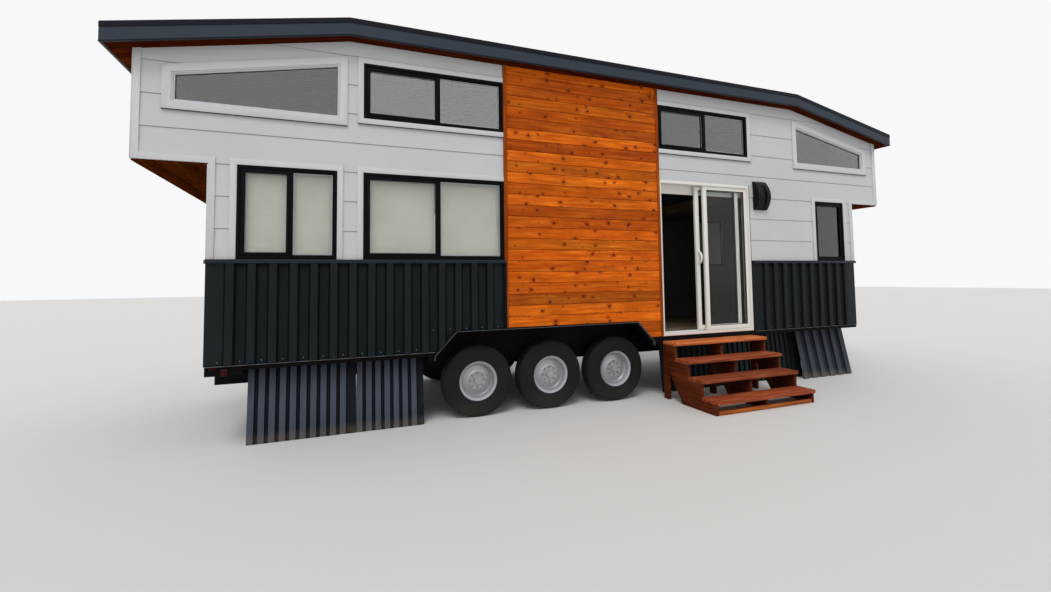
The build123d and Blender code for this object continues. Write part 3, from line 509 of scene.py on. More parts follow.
class Finishes:
    """Every finish of the house, built once."""

    def __init__(self) -> None:
        """Writes all the materials."""
        self.specs = {**self.paints(), **self.metals(), **self.timbers()}
        self.made = {key: spec.build() for key, spec in self.specs.items()}

    def __getitem__(self, key: str) -> bpy.types.Material:
        """The material of a finish."""
        return self.made[key]

    def paints(self) -> dict[str, Any]:
        """Painted boards, frames, glass, cloth and rubber."""
        # The siding's course lines are painted shadow under each lap.
        siding = Coating(
            "siding_paint", "siding", srgb(193, 195, 197), 0.62, spread=0.03, grain=(5, 90, 110),
            relief=0.0004, lap_pitch=LAP_PITCH, lap_origin=LAP_START,
        )
        glass = Pane("window_glass", "window_glass", (0.985, 0.995, 0.99, 1.0), 1.45)
        return {
            "siding": siding,
            "end_siding": replace(siding, name="end_siding_paint", grain=(90, 5, 110)),
            "trim": Coating("trim_paint", "trim_paint", srgb(199, 200, 203), 0.5, spread=0.025),
            "black": Coating("window_black", "black_frame", srgb(9, 9, 12), 0.45, gloss=0.07, spread=0.1),
            "pale": Coating("window_white", "white_frame", srgb(200, 201, 205), 0.4, spread=0.02),
            "spacer": Coating("glass_spacer", "white_frame", srgb(170, 174, 178), 0.4, metallic=0.5),
            "gasket": Coating("glass_gasket", "black_frame", srgb(40, 41, 44), 0.7),
            "vinyl": Coating(
                "door_vinyl", "white_vinyl", srgb(224, 221, 214), 0.35, spread=0.015, relief=0.0001,
            ),
            "glass": glass,
            # Raised bends: painted reflection, brightest on the sky glass and dimmer on the dim glass.
            "sky_glass": replace(glass, name="bright_reflection_glass", bend=2.3),
            "dim_glass": replace(glass, name="dim_reflection_glass", bend=1.85),
            "door_glass": Pane("door_glass", "window_glass", (0.975, 0.995, 0.985, 1.0), 1.18),
            "blind": ShadeCloth(
                "blind_cloth", "blind_cloth", srgb(232, 230, 214), head=HOUSE.floor + 1.84,
            ),
            "tyre": Coating(
                "tyre_rubber", "tyre", srgb(24, 24, 25), 0.8, gloss=0.2, spread=0.15, grain=(90, 90, 90),
                relief=0.0006, dust=0.08, dust_top=0.3,
            ),
            "lens": Coating("lamp_lens", "red_lens", srgb(52, 2, 5), 0.25, gloss=0.12, spread=0.1),
            # The rooms' inner faces are a dim grey-brown as painted shade, so that the inside reads dark
            # through the openings.
            "inside": Coating("inside_board", "siding", srgb(78, 72, 66), 0.7, gloss=0.2, spread=0.06),
            "plain_board": Coating(
                "plain_board", "floor_board", srgb(104, 82, 58), 0.7, gloss=0.2, spread=0.15,
            ),
        }

    def metals(self) -> dict[str, Any]:
        """Coated sheets, steel and the lamp."""
        ribbed = Coating(
            "ribbed_sheet", "ribbed_metal", srgb(27, 34, 38), 0.5, gloss=0.1, spread=0.1,
            grain=(30, 30, 6), relief=0.0003,
        )
        # The valley and flank finishes are darker copies of the ribbed sheet: painted shade between the ribs
        # and on their flanks, deepest under the cap.
        valley = replace(
            ribbed, name="ribbed_valley_shade", colour=srgb(24, 31, 34), roughness=0.55, gloss=0.08,
            spread=0.12, shadow_top=CAP_LOW,
        )
        skirt = Coating(
            "skirt_sheet", "skirt_metal", srgb(68, 76, 88), 0.5, gloss=0.15, spread=0.12,
            grain=(40, 40, 5), dust=0.3, dust_top=0.14,
        )
        faded = replace(
            skirt, name="skirt_faded", colour=srgb(54, 60, 69), gloss=0.12, spread=0.15, dust=0.25,
        )
        # The hollow and groove finishes are darker copies of the skirt's colour: painted shade in the
        # sheets' grooves.
        hollow = replace(
            faded, name="skirt_hollow_shade", colour=srgb(36, 42, 50), roughness=0.6, gloss=0.08, dust_top=0.12,
        )
        return {
            "wainscot": ribbed,
            "valley": valley,
            "flank": replace(
                valley, name="ribbed_flank_shade", colour=srgb(15, 19, 22), roughness=0.6, gloss=0.05,
            ),
            "cap": Coating("cap_sheet", "ribbed_metal", srgb(34, 40, 49), 0.45, gloss=0.12),
            "hem": Coating("hem_sheet", "ribbed_metal", srgb(78, 80, 82), 0.45, gloss=0.12, spread=0.15),
            # This bright steel colour is a painted highlight along the ribbed sheets' foot; the screw heads
            # share it.
            "turned_edge": Coating("turned_edge", "ribbed_metal", srgb(112, 116, 120), 0.4, metallic=0.5),
            "skirt": skirt,
            "skirt_faded": faded,
            "skirt_hollow_shade": hollow,
            "skirt_groove_shade": replace(hollow, name="skirt_groove_shade", colour=srgb(24, 27, 34)),
            "roof": Coating("roof_sheet", "roof_metal", srgb(20, 25, 32), 0.45, gloss=0.1),
            "fascia": Coating("fascia_paint", "fascia_paint", srgb(50, 58, 68), gloss=0.15, spread=0.06),
            "lamp_black": Coating(
                "lamp_black", "light_black", srgb(9, 9, 10), 0.4, gloss=0.15, spread=0.15,
            ),
            "steel": Coating(
                "trailer_steel", "trailer_steel", srgb(9, 9, 10), 0.6, gloss=0.08, spread=0.2,
                dust=0.12, dust_top=0.35,
            ),
            "rim": Coating("wheel_silver", "tyre", srgb(166, 168, 172), 0.4, metallic=0.6, spread=0.06),
            "nut": Coating("bright_steel", "trailer_steel", srgb(150, 152, 156), 0.3, metallic=0.9),
        }

    def timbers(self) -> dict[str, Any]:
        """Stained, red and plain planks."""
        boards = Timber(
            "stained_board", "stained_board", srgb(168, 68, 4), srgb(196, 89, 9), srgb(226, 122, 30),
            along=Axis.X, across=Axis.Z, pitch=BOARD_PITCH, origin=BOARD_START - 0.0015, spread=0.34,
            seam=0.0024,
        )
        # The eave and soffit boards are far darker than the wall's stained boards: painted shade under the
        # eaves as well as the wood's own stain.
        eave = Timber(
            "eave_wood", "soffit_wood", srgb(46, 15, 4), srgb(80, 30, 8), srgb(108, 47, 16),
            along=Axis.X, across=Axis.Y, pitch=0.090, origin=HOUSE.front, knots=0.8, gloss=0.0,
            roughness=0.9,
        )
        return {
            "boards": boards,
            "board_trim": Timber(
                "stained_edge", "stained_board", srgb(112, 46, 5), srgb(146, 66, 9), srgb(170, 84, 17),
                along=Axis.Z, across=Axis.X, pitch=0.5, origin=HOUSE.west, knots=0.3, spread=0.1,
            ),
            "eave_wood": eave,
            "soffit": replace(
                eave, name="soffit_wood", dark=srgb(42, 15, 1), middle=srgb(76, 32, 4),
                light=srgb(106, 50, 10), along=Axis.Y, across=Axis.X, origin=HOUSE.loft_west, knots=0.6,
            ),
            "redwood": Timber(
                "redwood_plank", "redwood", srgb(90, 39, 21), srgb(144, 69, 42), srgb(186, 108, 72),
                along=Axis.X, across=Axis.Y, pitch=0.187, origin=HOUSE.floor - 0.061 - 0.187 * 4 + 0.01,
                counted=Axis.Z, knots=0.25, spread=0.2, warm_above=HOUSE.floor - 0.115,
            ),
            "amber": Timber(
                "amber_plank", "redwood", srgb(112, 52, 16), srgb(158, 84, 34), srgb(188, 112, 54),
                along=Axis.X, across=Axis.Z, pitch=0.5, origin=HOUSE.floor, knots=0.3, spread=0.1,
            ),
            # The stringers' darker tones are painted shade from the house above them, laid over the wood's
            # own colour.
            "redwood_side": Timber(
                "redwood_stringer", "redwood", srgb(50, 19, 6), srgb(78, 34, 13), srgb(102, 49, 22),
                along=Axis.Y, across=Axis.Z, pitch=0.5, origin=HOUSE.west, counted=Axis.X, knots=0.4,
            ),
            "flooring": Timber(
                "floor_plank", "floor_board", srgb(92, 78, 64), srgb(122, 106, 88), srgb(142, 126, 106),
                along=Axis.X, across=Axis.Y, pitch=0.18, origin=HOUSE.front, knots=0.2, spread=0.2,
            ),
        }
        self.made = {key: spec.build() for key, spec in self.specs.items()}

    def __getitem__(self, key: str) -> bpy.types.Material:
        """The material of a finish."""
        return self.made[key]


# Mesh helpers


def cuboid(bm: Mesh, first: Sequence[float], second: Sequence[float]) -> None:
    """Adds a box between two opposite corners."""
    low, high = Vector([*map(min, first, second)]), Vector([*map(max, first, second)])
    matrix = Matrix.Translation((low + high) / 2) @ Matrix.Diagonal((*(high - low), 1.0))
    bmesh.ops.create_cube(bm, size=1.0, matrix=matrix)


def bevel(bm: Mesh, edges: Sequence[bmesh.types.BMEdge], width: float, segments: int) -> None:
    """Rounds or cuts off edges."""
    bmesh.ops.bevel(
        bm, geom=edges, offset=width, offset_type="OFFSET", affect="EDGES", segments=segments,
        profile=0.5, material=-1, clamp_overlap=True,
    )


def ease(bm: Mesh, width: float, segments: int = 2) -> None:
    """Rounds every edge that turns enough to show."""
    edges = [
        edge for edge in bm.edges
        if len(edge.link_faces) == 2 and edge.calc_face_angle(0.0) > EASED
    ]
    bevel(bm, edges, width, segments)


def weld(bm: Mesh) -> None:
    """Merges vertices that lie on one spot."""
    bmesh.ops.remove_doubles(bm, verts=bm.verts[:], dist=WELD)


def flatten(bm: Mesh) -> None:
    """Takes out the edges inside flat faces."""
    bmesh.ops.dissolve_limit(bm, angle_limit=LEVEL, verts=bm.verts[:], edges=bm.edges[:])


def push(bm: Mesh, faces: Sequence[bmesh.types.BMFace], way: Sequence[float]) -> None:
    """Gives flat faces a thickness."""
    made = bmesh.ops.extrude_face_region(bm, geom=faces)["geom"]
    moved = [item for item in made if isinstance(item, bmesh.types.BMVert)]
    bmesh.ops.translate(bm, verts=moved, vec=way)


def prism(bm: Mesh, points: Sequence[Vector], way: Sequence[float]) -> None:
    """Adds a flat outline and pushes it out to a solid."""
    push(bm, [bm.faces.new([bm.verts.new(point) for point in points])], way)


def inset(bm: Mesh, outline: Outline, y: float, width: float) -> tuple[bmesh.types.BMFace, list[Any]]:
    """Adds a face with an even border inside its outline.

    Args:
        bm: The mesh that gets it.
        outline: Corners as X and Z.
        y: Where the face stands.
        width: Width of the border.

    Returns:
        The inner face and the faces of the border.
    """
    face = bm.faces.new([bm.verts.new((x, y, z)) for x, z in outline])
    bm.normal_update()
    border = bmesh.ops.inset_region(
        bm, faces=[face], thickness=width, use_boundary=True, use_even_offset=True,
    )["faces"]
    return face, border


def ring(bm: Mesh, outline: Outline, width: float, near: float, far: float) -> None:
    """Adds a frame with an even face width inside an outline in X and Z.

    Args:
        bm: The mesh that gets it.
        outline: Corners as X and Z.
        width: Width of the frame's face.
        near: Y of one face.
        far: Y of the other.
    """
    face, border = inset(bm, outline, near, width)
    bmesh.ops.delete(bm, geom=[face], context="FACES")
    push(bm, border, (0, far - near, 0))


def rectangle(x_low: float, x_high: float, z_low: float, z_high: float) -> list[tuple[float, float]]:
    """Corners of a rectangle in X and Z."""
    return [(x_low, z_low), (x_high, z_low), (x_high, z_high), (x_low, z_high)]


def end_window(margin: float) -> list[tuple[float, float]]:
    """Corners of the opening in an end wall, as Y and Z, with a margin round it."""
    low, high = HOUSE.middle_y - END_HALF, HOUSE.middle_y + END_HALF
    sill = HOUSE.floor + UPPER_SILL
    return rectangle(low - margin, high + margin, sill - margin, sill + END_HEIGHT + margin)


def shrunk(outline: Outline, width: float) -> list[tuple[float, float]]:
    """An outline moved inwards by an even distance."""
    bm = bmesh.new()
    points = [(vert.co.x, vert.co.z) for vert in inset(bm, outline, 0, width)[0].verts]
    bm.free()
    return points


def stud(bm: Mesh, place: Sequence[float], axis: Axis, radius: float, height: float) -> None:
    """Adds a small round head whose middle is at a place."""
    turn = Vector((0, 0, 1)).rotation_difference(axis.vector).to_matrix().to_4x4()
    bmesh.ops.create_cone(
        bm, cap_ends=True, segments=8, radius1=radius, radius2=radius * 0.7, depth=height,
        matrix=Matrix.Translation(place) @ turn,
    )


def mesh_from(name: str, bm: Mesh) -> bpy.types.Mesh:
    """Writes a mesh and frees what it was made from."""
    mesh = bpy.data.meshes.new(name)
    bm.to_mesh(mesh)
    bm.free()
    return mesh


def linked(name: str, data: bpy.types.ID) -> bpy.types.Object:
    """Makes an object and adds it to the scene."""
    made = bpy.data.objects.new(name, data)
    bpy.context.scene.collection.objects.link(made)
    return made


def join(target: Mesh, source: Mesh) -> None:
    """Adds one mesh to another and frees it."""
    mesh = mesh_from("joined", source)
    target.from_mesh(mesh)
    bpy.data.meshes.remove(mesh)


def place_end(bm: Mesh, face: float) -> None:
    """Turns a piece drawn on a long side so that it lies on an end face."""
    turn = Matrix.Translation((face, 0, 0)) @ Matrix.Rotation(math.pi / 2, 4, "Z")
    bmesh.ops.transform(bm, matrix=turn, verts=bm.verts[:])


def node_copy(node: str) -> Mesh:
    """A welded copy of a CAD node's mesh."""
    bm = bmesh.new()
    bm.from_mesh(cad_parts[node].data)
    weld(bm)
    bm.normal_update()
    return bm


def outer_skin(nodes: Iterable[str], normal: Vector, places: Iterable[float] | None = None) -> Mesh:
    """The faces of CAD nodes that look one way.

    Args:
        nodes: Names of the nodes.
        normal: The way that the faces look.
        places: Where they may be along the normal, or None for anywhere.

    Returns:
        A mesh of those faces alone.
    """
    skin = bmesh.new()
    for node in nodes:
        copy = node_copy(node)
        unwanted = [
            face for face in copy.faces
            if face.normal.dot(normal) < 0.95 or (places is not None and all(
                abs(face.calc_center_median().dot(normal) - place) > 1e-3 for place in places
            ))
        ]
        bmesh.ops.delete(copy, geom=unwanted, context="FACES")
        join(skin, copy)
    weld(skin)
    flatten(skin)
    return skin


def add_piece(
    name: str, bm: Mesh, finish: str, body: str = "root", replaces: Sequence[str] = (),
) -> bpy.types.Object:
    """Makes a piece of the house from a mesh.

    Args:
        name: Name of the piece.
        bm: Its mesh, which is freed.
        finish: Key of its finish.
        body: CAD body that it moves with.
        replaces: CAD nodes that it stands for.

    Returns:
        The new object.
    """
    bmesh.ops.recalc_face_normals(bm, faces=bm.faces[:])
    mesh = mesh_from(name, bm)
    mesh.shade_smooth()
    mesh.set_sharp_from_angle(angle=SHARP)
    mesh.materials.append(FINISHES[finish])
    piece = linked(name, mesh)
    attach(piece, body)
    if replaces:
        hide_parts(*replaces)
    LOG.info("%s: %d faces", name, len(mesh.polygons))
    return piece


def eased_node(
    node: str, finish: str, width: float, segments: int = 2, body: str = "root",
) -> bpy.types.Object:
    """Stands for a CAD node with a copy whose edges are rounded."""
    bm = node_copy(node)
    flatten(bm)
    ease(bm, width, segments)
    return add_piece(f"{node}_finished", bm, finish, body, [node])


def paint_node(node: str, finish: str) -> None:
    """Gives a CAD node a finish."""
    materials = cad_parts[node].data.materials
    materials.clear()
    materials.append(FINISHES[finish])


def finish_faces(
    piece: bpy.types.Object, finish: str, chosen: Callable[[bpy.types.MeshPolygon], bool],
) -> None:
    """Gives the faces that a test picks another finish."""
    mesh = piece.data
    mesh.materials.append(FINISHES[finish])
    for face in mesh.polygons:
        if chosen(face):
            face.material_index = len(mesh.materials) - 1


FINISHES = Finishes()


# Sub-assemblies


@dataclass
class Cladding:
    """Boards laid in courses over a skin, each cut where the wall is cut."""

    pitch: float
    origin: float
    gap: float
    low_proud: float
    high_proud: float
    chamfer: float = 0.0
    across: Axis = Axis.Z

    def lay(self, skin: Mesh, outward: Vector, start: float = -10.0) -> Mesh:
        """Cuts a skin into courses and gives each its thickness.

        Args:
            skin: Faces of the wall, which are freed.
            outward: Direction that the boards stand proud in.
            start: Where the lowest course starts.

        Returns:
            A mesh of closed boards.
        """
        axis = self.across
        places = [vert.co[axis.value] for vert in skin.verts]
        first = math.floor((min(places) - self.origin) / self.pitch)
        last = math.ceil((max(places) - self.origin) / self.pitch)
        boards = bmesh.new()
        for index in range(first, last):
            low = max(self.origin + index * self.pitch, start)
            high = self.origin + (index + 1) * self.pitch - self.gap
            if high <= low:
                continue
            strip = skin.copy()
            for place, way in ((low, -1), (high, 1)):
                bmesh.ops.bisect_plane(
                    strip, geom=strip.verts[:] + strip.edges[:] + strip.faces[:],
                    plane_co=axis.vector * place, plane_no=axis.vector * way, clear_outer=True,
                )
            if not strip.faces:
                strip.free()
                continue
            made = bmesh.ops.extrude_face_region(strip, geom=strip.faces[:])["geom"]
            for vert in [item for item in made if isinstance(item, bmesh.types.BMVert)]:
                share = (high - vert.co[axis.value]) / (high - low)
                vert.co += outward * (self.high_proud + (self.low_proud - self.high_proud) * share)
            bmesh.ops.recalc_face_normals(strip, faces=strip.faces[:])
            if self.chamfer:
                bevel(strip, [
                    edge for edge in strip.edges
                    if len(edge.link_faces) == 2 and edge.calc_face_angle(0.0) > 1.0
                    and abs((edge.verts[0].co - edge.verts[1].co).normalized()[axis.value]) < 0.3
                    and any(face.normal.dot(outward) > 0.9 for face in edge.link_faces)
                ], self.chamfer, 1)
            join(boards, strip)
        skin.free()
        return boards


@dataclass
class Walls:
    """Lap siding, stained boards, corner boards and the rooms' inner faces."""

    siding: Cladding = field(default_factory=lambda: Cladding(LAP_PITCH, LAP_START, 0.0, 0.009, 0.003))
    boards: Cladding = field(default_factory=lambda: Cladding(
        BOARD_PITCH, BOARD_START, 0.003, 0.014, 0.014, 0.003,
    ))
    tuck: float = 0.020
    left_edge: float = 0.024
    left_lap: float = 0.0158
    right_edge: float = 0.034
    edge_proud: float = 0.026
    band: float = 0.060
    arch_gap: float = 0.012
    line_gap: float = 0.012
    end_high_proud: float = 0.006
    casing_share: float = 1.2
    edge_ease: float = 0.002
    trim_ease: float = 0.0015

    def dress(self) -> None:
        """Builds the pieces of every wall."""
        for side in Side:
            self.dress_side(side)
        self.dress_end("left", HOUSE.loft_west, HOUSE.west, -1)
        self.dress_end("right", HOUSE.loft_east, HOUSE.east, 1)
        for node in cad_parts:
            if "_wall" in node:
                paint_node(node, "inside")

    def dress_side(self, side: Side) -> None:
        """Clads one long wall."""
        word = side.word
        outward = Vector((0, side.value, 0))
        place = [side.face * side.value]
        middle = "wall_over_door" if side is Side.FRONT else "wall_middle"
        for name, node in (("left", "wall_left"), ("right", "wall_right"), ("middle", middle)):
            skin = outer_skin([f"{word}_{node}"], outward, place)
            bm = self.siding.lay(skin, outward, WAINSCOT_TOP - self.tuck)
            add_piece(f"{word}_siding_{name}", bm, "siding")
        skin = outer_skin([f"{word}_wall_wood"], outward, place)
        add_piece(f"{word}_boards", self.boards.lay(skin, outward), "boards")
        bm = bmesh.new()
        left, right, top = HOUSE.west + WOOD_START, HOUSE.west + WOOD_END, HOUSE.eave - HAIR
        for x_low, x_high, z_low, z_high in (
            (left, left + self.left_edge, HOUSE.floor + ARCH_TOP + self.arch_gap, WAINSCOT_TOP),
            (left - self.left_lap, left + self.left_edge, WAINSCOT_TOP + HAIR, top),
            (right - self.right_edge, right, HOUSE.floor, top),
        ):
            cuboid(bm, (x_low, side.face, z_low), (x_high, side.out(self.edge_proud), z_high))
        ease(bm, self.edge_ease)
        add_piece(f"{word}_board_edges", bm, "board_trim")

    def dress_end(self, word: str, outer: float, inner: float, way: int) -> None:
        """Clads one end of the house, upper and lower."""
        nodes = [f"{word}_end_walls", f"front_wall_{word}", f"back_wall_{word}"]
        outward = Vector((way, 0, 0))
        skin = outer_skin(nodes, outward, [outer * way, inner * way])
        siding = replace(self.siding, high_proud=self.end_high_proud)
        bm = siding.lay(skin, outward, WAINSCOT_TOP - self.tuck)
        add_piece(f"{word}_end_siding", bm, "end_siding")
        bm = bmesh.new()
        front, back = HOUSE.front + TRIM_WIDTH, HOUSE.back - TRIM_WIDTH
        for face, z_low, z_high in (
            (outer, LOFT_LINE, HOUSE.wall_top(outer)), (inner, WAINSCOT_TOP, LOFT_LINE - self.line_gap),
        ):
            for y_low, y_high in ((HOUSE.front - TRIM_PROUD, front), (back, HOUSE.back + TRIM_PROUD)):
                cuboid(bm, (face, y_low, z_low), (face + way * END_PROUD, y_high, z_high))
        cuboid(bm, (outer, front, LOFT_LINE), (outer + way * END_PROUD, back, LOFT_LINE + self.band))
        ease(bm, self.trim_ease)
        turned = bmesh.new()
        ring(turned, end_window(TRIM_WIDTH), TRIM_WIDTH, 0.0, -way * END_PROUD * self.casing_share)
        ease(turned, self.trim_ease)
        place_end(turned, outer)
        join(bm, turned)
        add_piece(f"{word}_end_trims", bm, "trim")

@dataclass(frozen=True)
class WindowSize:
    """Place of a square window on a long wall, in metres from its left corner and the floor."""

    start: float
    width: float
    sill: float
    head: float
    split: bool = True

    @property
    def span(self) -> tuple[float, float, float, float]:
        """Lowest and highest X, then Z, of the opening."""
        low = HOUSE.west + self.start
        return low, low + self.width, HOUSE.floor + self.sill, HOUSE.floor + self.head


@dataclass
class Windows:
    """Frames, sashes, beads and spacers of all the windows, with the blinds."""

    face: float = 0.038
    sash_face: float = 0.030
    stile_reach: float = 0.034
    step: float = 0.012
    step_proud: float = 0.004
    proud: float = 0.014
    depth: float = 0.070
    glass_setback: float = 0.018
    bead: float = 0.006
    bead_setback: float = 0.003
    glass_line: float = 0.240
    sash_proud: float = 0.008
    sash_back: float = 0.040
    stile_proud: float = 0.002
    leaf_face: float = 0.026
    spacer_depth: float = 0.004
    fixed_spacer: float = 0.009
    sash_spacer: float = 0.004
    edge_ease: float = 0.002
    pale_ease: float = 0.0015
    narrow: WindowSize = WindowSize(0.233, 0.884, 0.975, 1.873)
    wide: WindowSize = WindowSize(1.367, 1.524, 0.975, 1.873)
    upper: WindowSize = WindowSize(1.367, 1.524, UPPER_SILL, 3.026)
    over_door: WindowSize = WindowSize(WOOD_END, 1.526, UPPER_SILL, 3.026)
    casement: WindowSize = WindowSize(7.846, 0.607, 0.975, 1.873, False)
    loft_start: float = 0.289
    loft_width: float = 1.440
    loft_sill: float = 2.420
    loft_face: float = 0.024
    loft_head_gap: float = 0.238
    loft_bead: float = 0.005
    loft_bead_setback: float = 0.012

    def dress(self) -> None:
        """Builds the frames and finishes the glass and blinds."""
        square = (self.narrow, self.wide, self.upper, self.over_door, self.casement)
        pale, beads, spacers = bmesh.new(), bmesh.new(), bmesh.new()
        for side in Side:
            bm = bmesh.new()
            for window in square:
                self.square_frame(bm, spacers, window, side)
            ease(bm, self.edge_ease)
            add_piece(f"{side.word}_windows", bm, "black", replaces=[f"{side.word}_window_frames"])
            near, far, half = side.out(self.proud), side.out(self.proud - self.depth), self.loft_face / 2
            for mirrored in (False, True):
                outline = self.loft_outline(mirrored)
                ring(pale, outline, half, near, far)
                ring(pale, shrunk(outline, half), half, side.out(self.step_proud), far)
                outline = shrunk(outline, self.loft_face)
                bead_near, bead_far = side.out(-self.loft_bead_setback), side.out(-self.glass_setback)
                ring(beads, outline, self.loft_bead, bead_near, bead_far)
        ease(pale, self.pale_ease)
        add_piece("loft_windows", pale, "pale", replaces=["loft_window_frames"])
        add_piece("end_windows", self.end_frames(), "black", replaces=["end_window_frames"])
        add_piece("window_beads", beads, "gasket")
        add_piece("window_spacers", spacers, "spacer")
        paint_node("window_glass", "glass")
        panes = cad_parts["window_glass"]
        low, high, sill = self.upper.span[:3]
        line = sill - self.glass_line
        # Panes above the glass line reflect more than real glass, the one over the wide window most: painted
        # reflection.
        finish_faces(panes, "dim_glass", lambda face: face.center.z > line)
        finish_faces(panes, "sky_glass", lambda face: face.center.z > line and low < face.center.x < high)
        Blinds().dress(self)

    def square_frame(self, bm: Mesh, spacers: Mesh, window: WindowSize, side: Side) -> None:
        """Adds a frame with a stepped inner edge, its meeting stile and its sliding sash."""
        near, far = side.out(self.proud), side.out(self.proud - self.depth)
        setback = side.out(-self.glass_setback)
        outline = rectangle(*window.span)
        ring(bm, outline, self.face - self.step, near, far)
        ring(bm, shrunk(outline, self.face - self.step), self.step, side.out(self.step_proud), far)
        x_low, x_high, z_low, z_high = window.span
        z_low, z_high = z_low + self.face, z_high - self.face
        if not window.split:
            leaf = rectangle(x_low + self.face, x_high - self.face, z_low, z_high)
            ring(bm, leaf, self.leaf_face, side.out(self.step_proud), setback)
            return
        middle = (x_low + x_high) / 2
        stile = middle - self.face / 2 + self.sash_face
        cuboid(
            bm, (stile, side.out(self.stile_proud), z_low), (middle + self.stile_reach, far, z_high),
        )
        sash = rectangle(x_low + self.face, stile, z_low, z_high)
        ring(bm, sash, self.sash_face, side.out(self.sash_proud), side.out(-self.sash_back))
        fixed = rectangle(middle + self.stile_reach, x_high - self.face, z_low, z_high)
        ring(bm, fixed, self.bead, side.out(-self.bead_setback), setback)
        glass = sorted(side.out(depth - self.glass_setback) for depth in (HAIR, self.spacer_depth))
        ring(spacers, shrunk(fixed, self.bead), self.fixed_spacer, *glass)
        ring(spacers, shrunk(sash, self.sash_face), self.sash_spacer, *glass)

    def loft_outline(self, mirrored: bool) -> list[tuple[float, float]]:
        """Corners of a loft window, whose head follows the roof."""
        outer = HOUSE.loft_west + self.loft_start
        bottom = HOUSE.floor + self.loft_sill
        inner = outer + self.loft_width
        points = [(outer, bottom), (inner, bottom)]
        points += [(x, HOUSE.wall_top(x) - self.loft_head_gap) for x in (inner, outer)]
        if mirrored:
            return [(HOUSE.west + HOUSE.east - x, z) for x, z in points][::-1]
        return points

    def end_frames(self) -> Mesh:
        """Frames of the two end windows."""
        bm = bmesh.new()
        for end, way in ((HOUSE.loft_west, -1), (HOUSE.loft_east, 1)):
            turned = bmesh.new()
            ring(turned, end_window(0.0), self.face, -way * self.proud, way * (self.depth - self.proud))
            ease(turned, self.edge_ease)
            place_end(turned, end)
            join(bm, turned)
        return bm


@dataclass
class Blinds:
    """Cloth blinds that hang behind the lower windows, each with a bar in its hem."""

    cloth: float = 0.0012
    wave: float = 0.0012
    waves: float = 9.0
    columns: int = 36
    rows: int = 30
    hem: float = 0.022
    clear: float = 0.0008
    tab_start: float = 0.050
    tab_size: tuple[float, float] = (0.095, 0.022)
    tab_face: float = 0.004
    bar_span: tuple[float, float] = (0.0002, 0.0058)
    back_gap: float = 0.006
    middle: float = 0.003
    slant: float = 2.0

    def dress(self, windows: Windows) -> None:
        """Hangs a blind behind each pane that has one.

        Args:
            windows: The windows, for their sizes.
        """
        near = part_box("window_blinds")[0][1]
        replaced = ["window_blinds"]
        face, sash = windows.face, windows.face + windows.sash_face
        for name, window in (("narrow", windows.narrow), ("wide", windows.wide)):
            x_low, x_high, z_low, z_high = window.span
            middle = (x_low + x_high) / 2
            for word, span in (
                ("sliding", (x_low + sash, middle - face / 2, z_low + sash, z_high - sash)),
                ("fixed", (middle + windows.stile_reach, x_high - face, z_low + face, z_high - face)),
            ):
                self.hang(f"blind_{name}_{word}", span, near, replaced)
                replaced = []
        x_low, x_high, z_low, z_high = windows.casement.span
        span = (x_low + face, x_high - face, z_low + face, z_high - face)
        near = Side.BACK.out(windows.proud - windows.depth) - self.back_gap
        self.hang("blind_back_casement", span, near, [])

    def hang(
        self, name: str, span: Sequence[float], near: float, replaced: Sequence[str],
    ) -> None:
        """Hangs one blind.

        Args:
            name: Name of the piece.
            span: Lowest and highest X, then Z, of its place.
            near: Y of the side of its place that faces the door side.
            replaced: CAD nodes that it stands for.
        """
        x_low, x_high, z_low, z_high = span
        x_low, x_high, z_low = x_low + self.clear, x_high - self.clear, z_low + self.clear
        width, length = x_high - x_low, z_high - z_low
        bm = bmesh.new()
        turn = Matrix.Rotation(math.pi / 2, 4, "X")
        place = Matrix.Translation(((x_low + x_high) / 2, near + self.middle, (z_low + z_high) / 2))
        bmesh.ops.create_grid(
            bm, x_segments=self.columns, y_segments=self.rows, size=0.5,
            matrix=place @ turn @ Matrix.Diagonal((width, length, 1, 1)),
        )
        for vert in bm.verts:
            share = (z_high - vert.co.z) / length
            along = (vert.co.x - x_low) / width
            vert.co.y += self.wave * share * math.sin(self.waves * along + self.slant * share)
        bmesh.ops.solidify(bm, geom=bm.faces[:], thickness=self.cloth)
        piece = add_piece(name, bm, "blind", replaces=replaced)
        bar = bmesh.new()
        top = z_low + self.hem
        bar_near, bar_far = (near + part for part in self.bar_span)
        cuboid(bar, (x_low, bar_near, z_low), (x_high, bar_far, top))
        if name == "blind_narrow_fixed":
            start, (tab_width, tab_height) = x_low + self.tab_start, self.tab_size
            tab = rectangle(start, start + tab_width, top, top + tab_height)
            ring(bar, tab, self.tab_face, near, near + self.tab_face)
        ease(bar, 0.001, 1)
        hem = add_piece(f"{name}_hem", bar, "blind")


@dataclass(frozen=True)
class LeaningSheet:
    """Sizes of a ribbed sheet that leans inwards from its foot on the ground."""

    start: float
    ribs: float
    pitch: float
    flat: float
    setback: float
    lean: float
    rise: float = 0.0


